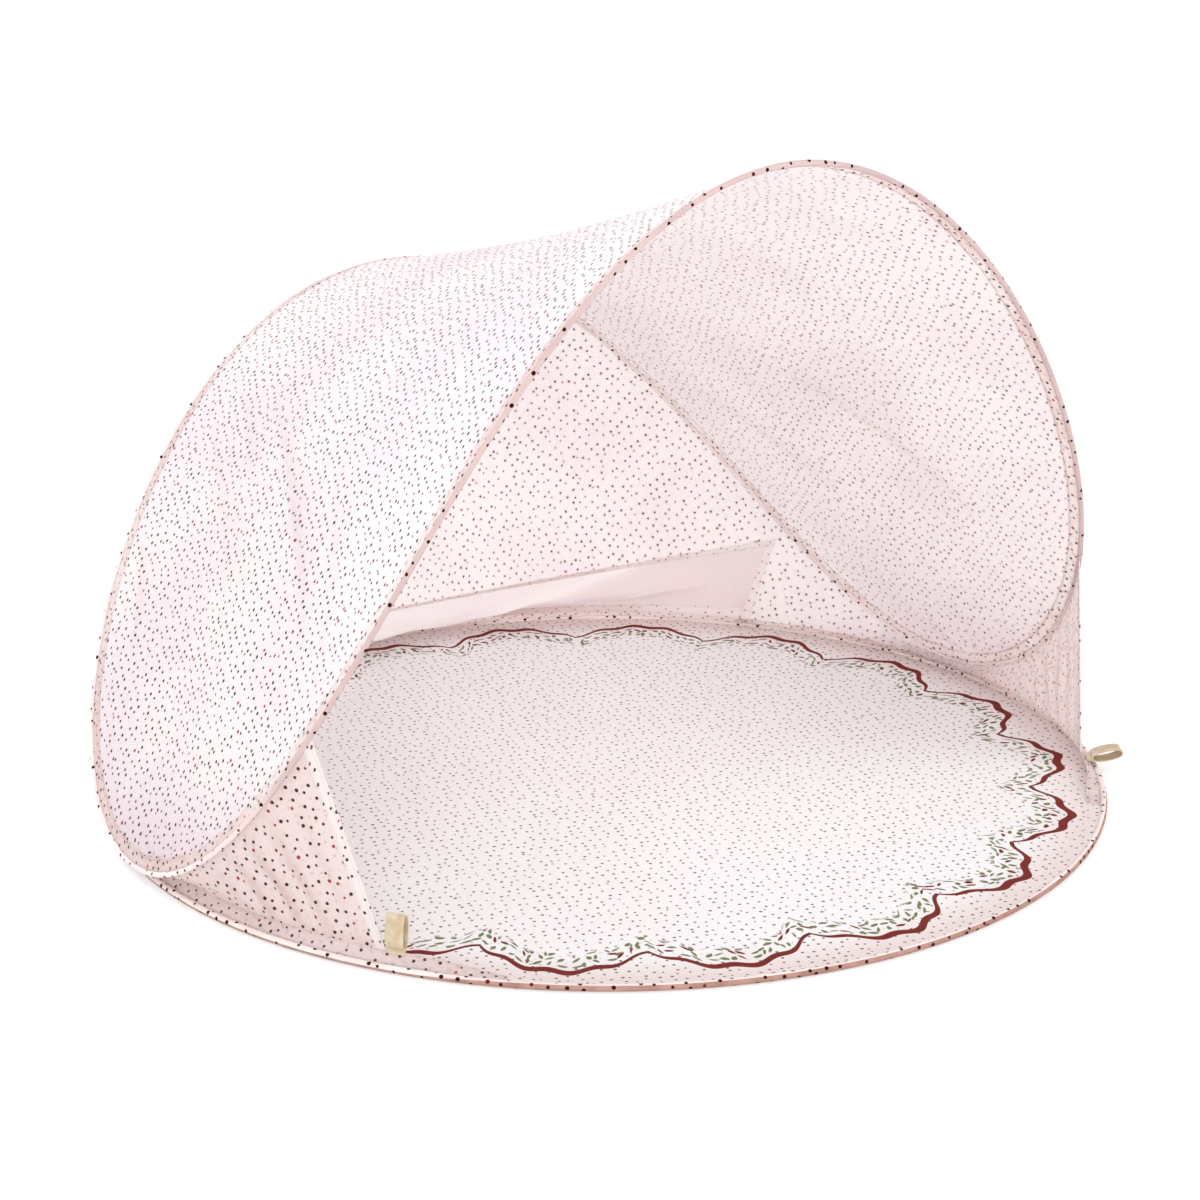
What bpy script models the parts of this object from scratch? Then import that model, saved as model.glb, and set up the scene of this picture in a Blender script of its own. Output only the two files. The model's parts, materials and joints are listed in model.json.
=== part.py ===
"""A round pop-up beach tent with a saddle-shaped canopy.

X runs across the doorway, Y from the doorway to the back and Z up. The origin is on the ground at the
middle of the floor. All lengths are in metres and all angles in degrees.
"""

import math

import bmesh
import bpy
import numpy as np
from mathutils import Matrix, Vector

# Floor ring and wire.
RING_RADIUS = 0.725
WIRE_RADIUS = 0.002
FERRULE_WALL = 0.0006
FERRULE_LENGTH = 0.040
FERRULE_FIT = 0.0002
FERRULE_SIDES = 12

# Fabric channels that hold the wires: a round bead with a flat stitched band.
BEAD_RADIUS = 0.0048
CHANNEL_CLOTH = 0.0012
CHANNEL_SLIT = 0.0004
RIM_BAND = 0.024
HOOP_BAND = 0.022

# Sheets, and the gap that sewn pieces keep to each other.
PANEL_THICKNESS = 0.002
FLOOR_THICKNESS = 0.0012
HEM_THICKNESS = 0.003
NET_THICKNESS = 0.0012
GAP = 0.0003

# Sheets that meet at a corner keep further apart, as does a wall that folds back over the band.
CORNER_GAP = 0.0007
FOLD_BACK = 0.004

# The rim's band lies flat along the doorway and is pulled up by the walls elsewhere.
BAND_LIFT = 42.0
DOORWAY_FLAT = 43.0
DOORWAY_LIFTED = 55.0

# The floor reaches out to the bead where the band has risen past this angle.
FLOOR_FREE_TILT = 26.0

# Canopy hoop: one closed loop, bent like a saddle over the floor.
HOOP_HALF_WIDTH = 0.740
HOOP_SQUARENESS = 0.0362
FOOT_Y = 0.010
FRONT_APEX_Y = -0.411
FRONT_APEX_Z = 0.956
REAR_APEX_Y = 0.603
REAR_APEX_Z = 0.673
DEPTH_SWELL = 0.0362
HEIGHT_SWELL = 0.0009
DEPTH_FLATNESS = 0.0044
HEIGHT_FLATNESS = 0.0152

# Angles round the hoop: 0 at the right foot, 90 at the rear apex, 270 at the front apex.
HOOP_STEP = 4.0
FRONT_HINGE_ANGLE = 32.0
REAR_HINGE_ANGLE = 60.0
WINDOW_HOOP_ANGLE = 36.0
LOWEST_ANGLES = range(-20, 40)
ROOF_TIP_ANGLE = 20.0

# Angles round the floor ring, from the X axis.
RING_STEP = 5.0
GUSSET_RING_ANGLE = 32.0
WINDOW_RING_ANGLE = 35.0
FRONT_LOOP_ANGLE = 33.4
REAR_LOOP_ANGLE = 36.0

# Net window along the foot of the back wall.
WINDOW_SIDE_SHARE = 0.85
WINDOW_CENTRE_Y = 0.616
WINDOW_CENTRE_Z = 0.092
WINDOW_SILL = 0.018
WINDOW_HEM = 0.012
NET_BELLY = 0.026
GUSSET_HEM = 0.012

# Shape of the stretched cloth. Folds are counted in waves across their piece.
ROOF_SAG = 0.020
ROOF_FOLD = 0.007
ROOF_FOLD_WAVES = 1.5
ROOF_FOLD_SLANT = 0.011
LOBE_ANGLE = 38.0
LOBE_SPREAD = 14.0
WALL_SAG = 0.012
GUSSET_FOLD = 0.0053
GUSSET_FOLD_WAVES = 2.0
GUSSET_FOLD_SLANT = 1.1
NET_FOLD_SHARE = 0.18
NET_FOLD_WAVES = 1.4
NET_FOLD_SLANT = 0.55

# Lines over each sheet, and how near to a sheet's end a line is left out, as a share of its width.
ROOF_COLUMNS = 14
GUSSET_ROWS = 6
SIDE_ROWS = 3
WALL_ROWS = 8
NET_ROWS = 8
NARROWEST = 0.01

# Peg loops of folded webbing.
WEBBING_WIDTH = 0.025
WEBBING_THICKNESS = 0.0016
LOOP_LENGTH = 0.052
LOOP_OPENING = 0.018
LOOP_ROOT = 0.008
LOOP_INSET = 0.004
LOOP_FULLNESS = 0.7
LOOP_STEPS = 10

# Where each loop sits round the ring, and how far it stands up at rest.
LOOPS = (
    ("peg_loop_front_left", 180 + FRONT_LOOP_ANGLE, 96.0),
    ("peg_loop_front_right", 360 - FRONT_LOOP_ANGLE, 12.0),
    ("peg_loop_rear_left", 180 - REAR_LOOP_ANGLE, 4.0),
    ("peg_loop_rear_right", REAR_LOOP_ANGLE, 20.0),
)

FERRULE_BORE = WIRE_RADIUS + FERRULE_FIT
FERRULE_RADIUS = FERRULE_BORE + FERRULE_WALL
BAND_HALF = CHANNEL_CLOTH + CHANNEL_SLIT / 2
BAND_DROP = math.degrees(math.asin((BEAD_RADIUS - BAND_HALF) / RIM_BAND))
SEAM = BEAD_RADIUS + GAP
WINDOW_SPAN = 90 - WINDOW_RING_ANGLE
WINDOW_STEP = RING_STEP / WINDOW_SPAN

SPRING_STEEL = ("spring_steel", (0.42, 0.42, 0.43), 0.35, 1.0)
CRIMPED_STEEL = ("crimped_steel", (0.55, 0.55, 0.56), 0.30, 1.0)
DOTTED_CLOTH = ("dotted_cloth", (0.93, 0.86, 0.86), 0.85, 0.0)
CHANNEL_TAPE = ("channel_tape", (0.90, 0.80, 0.79), 0.85, 0.0)
FLOOR_CLOTH = ("floor_cloth", (0.94, 0.88, 0.87), 0.80, 0.0)
COATED_CLOTH = ("coated_cloth", (0.55, 0.40, 0.32), 0.60, 0.0)
HEM_CLOTH = ("hem_cloth", (0.88, 0.78, 0.77), 0.85, 0.0)
WHITE_NET = ("white_net", (0.95, 0.94, 0.96), 0.70, 0.0)
COTTON_WEBBING = ("cotton_webbing", (0.83, 0.70, 0.47), 0.90, 0.0)


def unit(vector):
    return vector / np.linalg.norm(vector)


def blend(first, last, share):
    return first + (last - first) * share


def smooth(share):
    share = min(max(share, 0.0), 1.0)
    return share * share * (3 - 2 * share)


def wave(turns):
    return math.sin(2 * math.pi * turns)


def mirrored(point, side):
    return point * np.array([side, 1.0, 1.0])


def multiples(step, first, last):
    """Every multiple of the step from first to last."""
    lowest, highest = math.ceil(first / step - 1e-9), math.floor(last / step + 1e-9)
    return [step * index for index in range(lowest, highest + 1)]


def merged(*lists):
    """All the values in order, each one once."""
    return sorted({round(value, 9) for values in lists for value in values})


def on_chord(curve, step, value):
    """A point of the curve drawn with straight lines between the multiples of the step."""
    low = math.floor(value / step + 1e-9) * step
    return blend(curve(low), curve(low + step), (value - low) / step)


def clear_scene():
    for obj in list(bpy.data.objects):
        bpy.data.objects.remove(obj, do_unlink=True)


def new_collection(name):
    collection = bpy.data.collections.new(name)
    bpy.context.scene.collection.children.link(collection)
    return collection


def add_object(name, data, finish):
    obj = bpy.data.objects.new(name, data)
    tent.objects.link(obj)
    label, colour, roughness, metallic = finish
    material = bpy.data.materials.get(label) or bpy.data.materials.new(label)
    material.use_nodes = True
    shader = material.node_tree.nodes["Principled BSDF"]
    shader.inputs["Base Color"].default_value = (*colour, 1.0)
    shader.inputs["Roughness"].default_value = roughness
    shader.inputs["Metallic"].default_value = metallic
    data.materials.append(material)
    return obj


def add_mesh(name, points, faces, finish):
    """A mesh with its faces turned outward, or all one way where it is open."""
    mesh = bpy.data.meshes.new(name)
    mesh.from_pydata([tuple(point) for point in points], [], faces)
    work = bmesh.new()
    work.from_mesh(mesh)
    loose = [vert for vert in work.verts if not vert.link_faces]
    bmesh.ops.delete(work, geom=loose, context="VERTS")
    bmesh.ops.recalc_face_normals(work, faces=work.faces)
    closed = all(edge.is_manifold for edge in work.edges)
    if closed and work.calc_volume(signed=True) < 0:
        bmesh.ops.reverse_faces(work, faces=work.faces)
    work.to_mesh(mesh)
    work.free()
    mesh.shade_smooth()
    return add_object(name, mesh, finish)


def add_sweep(name, outlines, finish, cyclic=False):
    """Faces between equal outlines one after another, with a flat face on each end if it isn't cyclic."""
    count, sections = len(outlines[0]), len(outlines)
    faces = []
    for section in range(sections if cyclic else sections - 1):
        low, high = section * count, (section + 1) % sections * count
        for corner in range(count):
            after = (corner + 1) % count
            faces.append((low + corner, low + after, high + after, high + corner))
    if not cyclic:
        faces.append(tuple(reversed(range(count))))
        faces.append(tuple(range((sections - 1) * count, sections * count)))
    return add_mesh(name, [point for outline in outlines for point in outline], faces, finish)


def add_sheet(name, surface, us, vs, thickness, finish, keep=None):
    """A sheet over the lines us and vs of a surface. keep picks the cells that it has."""
    points = [surface(u, v) for u in us for v in vs]
    faces = []
    for i in range(len(us) - 1):
        for j in range(len(vs) - 1):
            if keep is None or keep(i, j):
                low, high = i * len(vs) + j, (i + 1) * len(vs) + j
                faces.append((low, high, high + 1, low + 1))
    return thicken(add_mesh(name, points, faces, finish), thickness)


def thicken(obj, thickness):
    solidify = obj.modifiers.new("Thickness", "SOLIDIFY")
    solidify.thickness = thickness
    solidify.offset = 0.0
    solidify.use_even_offset = True
    return obj


def tube_along(name, centres, radius, finish, cyclic=False):
    curve = bpy.data.curves.new(name, "CURVE")
    curve.dimensions = "3D"
    curve.bevel_depth = radius
    curve.bevel_resolution = 2
    curve.use_fill_caps = True
    spline = curve.splines.new("POLY")
    spline.points.add(len(centres) - 1)
    for point, centre in zip(spline.points, centres):
        point.co = (*centre, 1.0)
    spline.use_cyclic_u = cyclic
    return add_object(name, curve, finish)


def relief(surface, amount):
    """The surface moved along its normal by amount(u, v), which is nought at the edges."""
    small = 1e-4

    def moved(u, v):
        height = amount(u, v)
        if abs(height) < 1e-7:
            return surface(u, v)
        along = surface(u + small, v) - surface(u - small, v)
        across = surface(u, v + small) - surface(u, v - small)
        return surface(u, v) + unit(np.cross(along, across)) * height
    return moved


def ring_point(angle):
    turn = math.radians(angle)
    return np.array([RING_RADIUS * math.cos(turn), RING_RADIUS * math.sin(turn), BEAD_RADIUS])


def band_tilt(angle):
    """How far the rim's band rises inward, in degrees. It lies on the ground along the doorway."""
    from_doorway = abs((angle - 270 + 180) % 360 - 180)
    lift = smooth((from_doorway - DOORWAY_FLAT) / (DOORWAY_LIFTED - DOORWAY_FLAT))
    return blend(-BAND_DROP, BAND_LIFT, lift)


def band_frame(angle):
    """Direction of the rim's band, and the direction square to it on its upper side."""
    turn, tilt = math.radians(angle), math.radians(band_tilt(angle))
    outward = np.array([math.cos(turn), math.sin(turn), 0.0])
    upward = np.array([0.0, 0.0, 1.0])
    inward = upward * math.sin(tilt) - outward * math.cos(tilt)
    return inward, upward * math.cos(tilt) + outward * math.sin(tilt)


def rim_end(angle):
    """Middle of the inner end of the rim's band, where walls are sewn on."""
    return ring_point(angle) + band_frame(angle)[0] * RIM_BAND


def hoop_wave(angle, foot, front, rear, swell, flatness):
    """Depth or height of the hoop at an angle, through its value at the feet and at both apexes."""
    turn = math.radians(angle)
    middle = (front + rear) / 2
    return (
        (foot + middle) / 2 - flatness
        + ((rear - front) / 2 + swell) * math.sin(turn)
        + (foot - middle) / 2 * math.cos(2 * turn)
        + swell * math.sin(3 * turn)
        + flatness * math.cos(4 * turn)
    )


def hoop_height(angle, foot):
    return hoop_wave(angle, foot, FRONT_APEX_Z, REAR_APEX_Z, HEIGHT_SWELL, HEIGHT_FLATNESS)


def resting_foot():
    """Height of the hoop's foot at which its lowest point lies just above the rim."""
    lowest = 2 * BEAD_RADIUS + GAP + BEAD_RADIUS
    return 2 * lowest - min(hoop_height(angle, lowest) for angle in LOWEST_ANGLES)


FOOT_Z = resting_foot()


def hoop_point(angle):
    """Centre of the canopy wire at an angle round the hoop."""
    turn = math.radians(angle)
    across = (1 + HOOP_SQUARENESS) * math.cos(turn) - HOOP_SQUARENESS * math.cos(3 * turn)
    return np.array([
        HOOP_HALF_WIDTH * across,
        hoop_wave(angle, FOOT_Y, FRONT_APEX_Y, REAR_APEX_Y, DEPTH_SWELL, DEPTH_FLATNESS),
        hoop_height(angle, FOOT_Z),
    ])


def hoop_tangent(angle):
    return unit(hoop_point(angle + 0.5) - hoop_point(angle - 0.5))


def hoop_seam(angle, start):
    """Where cloth from the start meets the canopy's bead at an angle, clear of it."""
    top = on_chord(hoop_point, HOOP_STEP, angle)
    direction = unit(top - start)
    slant = math.sqrt(1 - (direction @ hoop_tangent(angle)) ** 2)
    return top - direction * SEAM / slant


def roof_normal(angle):
    """Outward direction of the roof at its edge, square to the line to the opposite edge."""
    turn = min(max(abs((angle + 180) % 360 - 180), 1.0), 179.0)
    ruling = unit(hoop_point(-turn) - hoop_point(turn))
    ahead = hoop_point(-turn - 0.5) + hoop_point(turn + 0.5)
    behind = hoop_point(-turn + 0.5) + hoop_point(turn - 0.5)
    return unit(np.cross(unit(ahead - behind), ruling))


def roof_inward(angle):
    """Direction from the hoop into the roof cloth, square to the wire."""
    inward = unit(np.cross(hoop_tangent(angle), roof_normal(angle)))
    turn = abs((angle + 180) % 360 - 180)
    inside = min(max(turn, ROOF_TIP_ANGLE), 180 - ROOF_TIP_ANGLE)
    middle = (hoop_point(inside) + hoop_point(-inside)) / 2
    return inward if inward @ (middle - hoop_point(angle)) > 0 else -inward


def roof_edge(angle):
    """Edge of the roof cloth, where the channel's band ends."""
    return hoop_point(angle) + roof_inward(angle) * (HOOP_BAND + GAP)


def channel_outline(band):
    """Closed outline of a fabric channel: a bead round the wire, and two lips that lie along the band."""
    outer_steps, inner_steps = 8, 6
    bore = (FERRULE_RADIUS + GAP) / math.cos(math.pi / inner_steps)
    outer_start = math.asin(BAND_HALF / BEAD_RADIUS)
    inner_start = math.asin(CHANNEL_SLIT / 2 / bore)
    outline = [(band, BAND_HALF)]
    for step in range(outer_steps + 1):
        turn = outer_start + (2 * math.pi - 2 * outer_start) * step / outer_steps
        outline.append((BEAD_RADIUS * math.cos(turn), BEAD_RADIUS * math.sin(turn)))
    outline += [(band, -BAND_HALF), (band, -CHANNEL_SLIT / 2)]
    for step in range(inner_steps, -1, -1):
        turn = inner_start + (2 * math.pi - 2 * inner_start) * step / inner_steps
        outline.append((bore * math.cos(turn), bore * math.sin(turn)))
    outline.append((band, CHANNEL_SLIT / 2))
    return outline


def add_ferrule(name, first, last):
    """A crimped steel tube at the middle of one straight step of wire."""
    half = FERRULE_LENGTH / 2
    profile = [(FERRULE_BORE, half), (FERRULE_RADIUS, half), (FERRULE_RADIUS, -half), (FERRULE_BORE, -half)]
    mesh = bpy.data.meshes.new(name)
    mesh.from_pydata([(x, 0.0, z) for x, z in profile], [(0, 1), (1, 2), (2, 3), (3, 0)], [])
    obj = add_object(name, mesh, CRIMPED_STEEL)
    screw = obj.modifiers.new("Turn", "SCREW")
    screw.steps = screw.render_steps = FERRULE_SIDES
    screw.use_merge_vertices = True
    screw.merge_threshold = 0.00001
    obj.location = (first + last) / 2
    obj.rotation_euler = Vector(last - first).to_track_quat("Z", "X").to_euler()
    return obj


def rim_pieces():
    """The floor ring of wire, its crimped joint at the back, and the channel round it."""
    angles = multiples(RING_STEP, 0.0, 360.0 - RING_STEP)
    outlines = []
    for angle in angles:
        inward, upper = band_frame(angle)
        centre = ring_point(angle)
        outlines.append([centre + inward * x + upper * y for x, y in channel_outline(RIM_BAND)])
    add_sweep("floor_hoop_channel", outlines, DOTTED_CLOTH, cyclic=True)
    ring = [ring_point(angle) for angle in angles]
    tube_along("floor_hoop_wire", ring, WIRE_RADIUS, SPRING_STEEL, cyclic=True)
    add_ferrule("floor_hoop_ferrule", ring_point(90.0), ring_point(90.0 + RING_STEP))


def floor_radius(angle):
    """The flat floor reaches the band's end along the doorway, and the bead itself under the lifted band."""
    at_band = np.linalg.norm(rim_end(270.0)[:2]) - GAP
    level = BEAD_RADIUS - (2 * FLOOR_THICKNESS + GAP)
    at_bead = RING_RADIUS - math.sqrt(SEAM**2 - level**2) - GAP
    lifted = (band_tilt(angle) - FLOOR_FREE_TILT) / (BAND_LIFT - FLOOR_FREE_TILT)
    return blend(at_band, at_bead, smooth(lifted))


def floor_piece(name, bottom, finish):
    outline = []
    for angle in multiples(RING_STEP, 0.0, 360.0 - RING_STEP):
        turn, radius = math.radians(angle), floor_radius(angle)
        outline.append((radius * math.cos(turn), radius * math.sin(turn)))
    count = len(outline)
    points = [(x, y, bottom + height) for height in (0.0, FLOOR_THICKNESS) for x, y in outline]
    faces = [tuple(range(count)), tuple(range(count, 2 * count))]
    faces += [(i, (i + 1) % count, count + (i + 1) % count, count + i) for i in range(count)]
    add_mesh(name, points, faces, finish).data.shade_flat()


def hoop_centres(angles, side):
    """Wire centres at the angles, drawn in at both ends by half a gap."""
    centres = [mirrored(hoop_point(angle), side) for angle in angles]
    centres[0] = centres[0] + unit(centres[1] - centres[0]) * GAP / 2
    centres[-1] = centres[-1] + unit(centres[-2] - centres[-1]) * GAP / 2
    return centres


def canopy_length(name, first, last, side=1):
    """One length of the canopy's wire and of the channel round it, whose band lies in the roof."""
    angles = multiples(HOOP_STEP, first, last)
    centres = hoop_centres(angles, side)
    wire = tube_along(f"canopy_wire_{name}", centres, WIRE_RADIUS, SPRING_STEEL)
    outlines = []
    for angle, centre in zip(angles, centres):
        inward, normal = mirrored(roof_inward(angle), side), mirrored(roof_normal(angle), side)
        outlines.append([centre + inward * x + normal * y for x, y in channel_outline(HOOP_BAND)])
    return [wire, add_sweep(f"canopy_channel_{name}", outlines, CHANNEL_TAPE)]


def canopy_hoop():
    """The saddle-shaped loop: a front arch, a rear arch and two flexing feet between them."""
    front = canopy_length("front", 180 + FRONT_HINGE_ANGLE, 360 - FRONT_HINGE_ANGLE)
    rear = canopy_length("rear", REAR_HINGE_ANGLE, 180 - REAR_HINGE_ANGLE)
    canopy_length("foot_right", -FRONT_HINGE_ANGLE, REAR_HINGE_ANGLE, 1)
    canopy_length("foot_left", -FRONT_HINGE_ANGLE, REAR_HINGE_ANGLE, -1)
    joint_ends = hoop_point(270 - HOOP_STEP / 2), hoop_point(270 + HOOP_STEP / 2)
    front.append(add_ferrule("canopy_hoop_ferrule", *joint_ends))
    hang_on_pivot("front_arch_pivot", front)
    hang_on_pivot("rear_arch_pivot", rear)


def hang_on_pivot(name, pieces):
    """An empty on the line that both arches turn about, with the pieces of one arch parented to it."""
    pivot = bpy.data.objects.new(name, None)
    tent.objects.link(pivot)
    pivot.location = hoop_point(-FRONT_HINGE_ANGLE) * np.array([0.0, 1.0, 1.0])
    for piece in pieces:
        piece.parent = pivot
        piece.matrix_parent_inverse = Matrix.Translation(-pivot.location)


def roof_relief(turn, share):
    """How far the roof lies inside the straight line from edge to edge, and its drag folds."""
    edge = 4 * share * (1 - share)
    reach = math.sin(math.radians(turn))
    from_foot = min(turn, 180 - turn)
    lobe = math.exp(-(((from_foot - LOBE_ANGLE) / LOBE_SPREAD) ** 2))
    fold = wave(ROOF_FOLD_WAVES * share + ROOF_FOLD_SLANT * from_foot)
    return edge * (-ROOF_SAG * reach + ROOF_FOLD * lobe * fold)


def roof_panel():
    """Roof cloth: straight lines from the rear edge to the front edge, sagging between them."""
    def surface(turn, share):
        straight = blend(roof_edge(turn), roof_edge(-turn), share)
        return straight + roof_normal(turn) * roof_relief(turn, share)

    turns = multiples(HOOP_STEP, HOOP_STEP, 180 - HOOP_STEP)
    add_sheet("roof_panel", surface, turns, rows(ROOF_COLUMNS), PANEL_THICKNESS, DOTTED_CLOTH)


def wall_foot(angle, top, thickness):
    """Lower edge of a wall, just off the end of the rim's band and clear of it on the way to the top."""
    end = on_chord(rim_end, RING_STEP, angle)
    inward, upper = band_frame(angle)
    along = unit(top - end) @ inward
    off_end = GAP + thickness / 2 * math.sqrt(max(0.0, 1 - along**2))
    return end + inward * off_end + upper * FOLD_BACK * max(0.0, -along)


def side_surface(side, hoop_end, ring_end, thickness):
    """Cloth between the rim and the hoop, from the foot to the given angles. v runs from the rim up."""
    def surface(u, v):
        foot = wall_foot(ring_end * u, hoop_point(hoop_end * u), thickness)
        return mirrored(blend(foot, hoop_seam(hoop_end * u, foot), v), side)
    return surface


def side_lines(hoop_end, ring_end, first, last):
    """Shares at which the hoop or the ring has a corner, between first and last."""
    at_hoop = [angle / abs(hoop_end) for angle in multiples(HOOP_STEP, 0.0, abs(hoop_end))]
    at_ring = [angle / abs(ring_end) for angle in multiples(RING_STEP, 0.0, abs(ring_end))]
    inner = [share for share in merged(at_hoop, at_ring) if first + NARROWEST < share < last - NARROWEST]
    return [first, *inner, last]


def rows(count):
    return [step / count for step in range(count + 1)]


def front_gusset(side, label):
    """Front corner of the canopy with its hemmed free edge."""
    width = np.linalg.norm(hoop_point(-FRONT_HINGE_ANGLE) - hoop_point(0.0))
    hem_start, inset = 1 - GUSSET_HEM / width, GAP / 2 / width
    cloth_end = hem_start - 2 * inset

    def drag_folds(u, v):
        share = u / cloth_end
        middle = 27 / 4 * share**2 * (1 - share) * 4 * v * (1 - v)
        return GUSSET_FOLD * middle * wave(GUSSET_FOLD_WAVES * u + GUSSET_FOLD_SLANT * v)

    cloth = side_surface(side, -FRONT_HINGE_ANGLE, -GUSSET_RING_ANGLE, PANEL_THICKNESS)
    lines = side_lines(FRONT_HINGE_ANGLE, GUSSET_RING_ANGLE, inset, cloth_end)
    folded = relief(cloth, drag_folds)
    add_sheet(f"front_gusset_{label}", folded, lines, rows(GUSSET_ROWS), PANEL_THICKNESS, DOTTED_CLOTH)
    hem = side_surface(side, -FRONT_HINGE_ANGLE, -GUSSET_RING_ANGLE, HEM_THICKNESS)
    lines = [hem_start, 1 - inset]
    add_sheet(f"gusset_hem_{label}", hem, lines, rows(GUSSET_ROWS), HEM_THICKNESS, HEM_CLOTH)


def rear_side_panel(side, label):
    surface = side_surface(side, WINDOW_HOOP_ANGLE, WINDOW_RING_ANGLE, PANEL_THICKNESS)
    width = np.linalg.norm(hoop_point(WINDOW_HOOP_ANGLE) - hoop_point(0.0))
    lines = side_lines(WINDOW_HOOP_ANGLE, WINDOW_RING_ANGLE, GAP / 2 / width, 1 - CORNER_GAP / width)
    add_sheet(f"rear_side_panel_{label}", surface, lines, rows(SIDE_ROWS), PANEL_THICKNESS, DOTTED_CLOTH)


def window_corner():
    """Upper right corner of the window, on the line from the rim up to the hoop."""
    return blend(rim_end(WINDOW_RING_ANGLE), hoop_point(WINDOW_HOOP_ANGLE), WINDOW_SIDE_SHARE)


def window_top(across):
    """Upper edge of the window. across is -1 at its left corner and 1 at its right one."""
    corner = window_corner()
    reach = math.sin(math.radians(WINDOW_SPAN * across)) / math.sin(math.radians(WINDOW_SPAN))
    return np.array([
        corner[0] * reach,
        blend(WINDOW_CENTRE_Y, corner[1], reach**2),
        blend(WINDOW_CENTRE_Z, corner[2], reach**2),
    ])


def window_ends(across):
    """Lower and upper end of the window's straight line at this share of its half width."""
    top = on_chord(window_top, WINDOW_STEP, across)
    return wall_foot(90 - WINDOW_SPAN * across, top, HEM_THICKNESS), top


def window_line(across, distance):
    """A point of the window's surface this far up from its lower edge."""
    bottom, top = window_ends(across)
    return bottom + unit(top - bottom) * distance


def window_height(across):
    bottom, top = window_ends(across)
    return np.linalg.norm(top - bottom)


def window_pieces():
    """Hemmed frame along the window's four sides and the slack net inside it."""
    unit_width = np.linalg.norm(window_top(1.0) - window_top(1.0 - NARROWEST)) / NARROWEST
    end = 1 - CORNER_GAP / unit_width
    inner = end - WINDOW_HEM / unit_width
    net_end = inner - GAP / unit_width
    corners = multiples(WINDOW_STEP, -1.0, 1.0)

    def frame(across, row):
        height = window_height(across) - CORNER_GAP
        return window_line(across, (0.0, WINDOW_SILL, height - WINDOW_HEM, height)[row])

    lines = merged([-end, -inner, inner, end], [x for x in corners if abs(x) < inner - NARROWEST])
    last = len(lines) - 2
    add_sheet("window_hem", frame, lines, range(4), HEM_THICKNESS, HEM_CLOTH,
              keep=lambda i, j: i in (0, last) or j != 1)

    def net(across, v):
        low, high = WINDOW_SILL + 1.5 * GAP, window_height(across) - WINDOW_HEM - CORNER_GAP - 1.5 * GAP
        return window_line(across, blend(low, high, v))

    def belly(across, v):
        slack = (1 - (across / net_end) ** 4) ** 2 * math.sin(math.pi * v) ** 2
        folds = 1 + NET_FOLD_SHARE * wave(NET_FOLD_WAVES * across + NET_FOLD_SLANT * v)
        return NET_BELLY * slack * folds

    lines = merged([-net_end, net_end], [x for x in corners if abs(x) < net_end - NARROWEST])
    add_sheet("window_net", relief(net, belly), lines, rows(NET_ROWS), NET_THICKNESS, WHITE_NET)


def back_wall():
    """Cloth from the window's upper edge to the rear arch."""
    span = 90 - WINDOW_HOOP_ANGLE
    width = np.linalg.norm(hoop_point(WINDOW_HOOP_ANGLE) - hoop_point(WINDOW_HOOP_ANGLE + 1)) * span
    end = 1 - CORNER_GAP / width
    angles = multiples(HOOP_STEP, WINDOW_HOOP_ANGLE, 180 - WINDOW_HOOP_ANGLE)
    at_hoop = [(90 - angle) / span for angle in angles]
    corners = merged(at_hoop, multiples(WINDOW_STEP, -1.0, 1.0))

    def flat(across, v):
        low = on_chord(window_top, WINDOW_STEP, across)
        high = hoop_seam(90 - span * across, low)
        return blend(low + unit(high - low) * CORNER_GAP, high, v)

    def bow(across, v):
        return WALL_SAG * 4 * v * (1 - v) * (1 - (across / end) ** 2)

    lines = merged([-end, end], [x for x in corners if abs(x) < end - NARROWEST])
    add_sheet("back_wall", relief(flat, bow), lines, rows(WALL_ROWS), PANEL_THICKNESS, DOTTED_CLOTH)


def loop_outline(thickness):
    """Half-opening of a peg loop along its length, grown outward by the thickness of the webbing."""
    upper = []
    for share in rows(LOOP_STEPS):
        reach = LOOP_ROOT + (LOOP_LENGTH - LOOP_ROOT) * (1 - math.cos(math.pi * share)) / 2
        upper.append((reach, LOOP_OPENING / 2 * math.sin(math.pi * share) ** LOOP_FULLNESS))
    if not thickness:
        return upper + [(x, -y) for x, y in upper[-2:0:-1]]
    corner = thickness * math.sqrt(0.5)
    grown = [(-corner, corner), (0.0, thickness)]
    grown += [(x, y + thickness) for x, y in upper[:-1]]
    grown.append((LOOP_LENGTH + corner, corner))
    lower = [(x, -y) for x, y in grown[::-1]]
    return grown + [(LOOP_LENGTH + thickness, 0.0)] + lower + [(-thickness, 0.0)]


def peg_loop(name, ring_angle, lift):
    """A folded loop of webbing that hinges on the outer face of the rim's band, lifted by an angle."""
    curve = bpy.data.curves.new(name, "CURVE")
    curve.dimensions = "2D"
    curve.fill_mode = "BOTH"
    curve.extrude = WEBBING_WIDTH / 2
    for outline in (loop_outline(WEBBING_THICKNESS), loop_outline(0.0)):
        spline = curve.splines.new("POLY")
        spline.points.add(len(outline) - 1)
        for point, (x, y) in zip(spline.points, outline):
            point.co = (x, y, 0.0, 1.0)
        spline.use_cyclic_u = True
    obj = add_object(name, curve, COTTON_WEBBING)
    inward, upper = band_frame(ring_angle)
    obj.location = rim_end(ring_angle) - inward * LOOP_INSET + upper * (BAND_HALF + GAP + WEBBING_THICKNESS)
    obj.rotation_euler = (math.radians(90), -math.radians(lift), math.radians(ring_angle))


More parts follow.
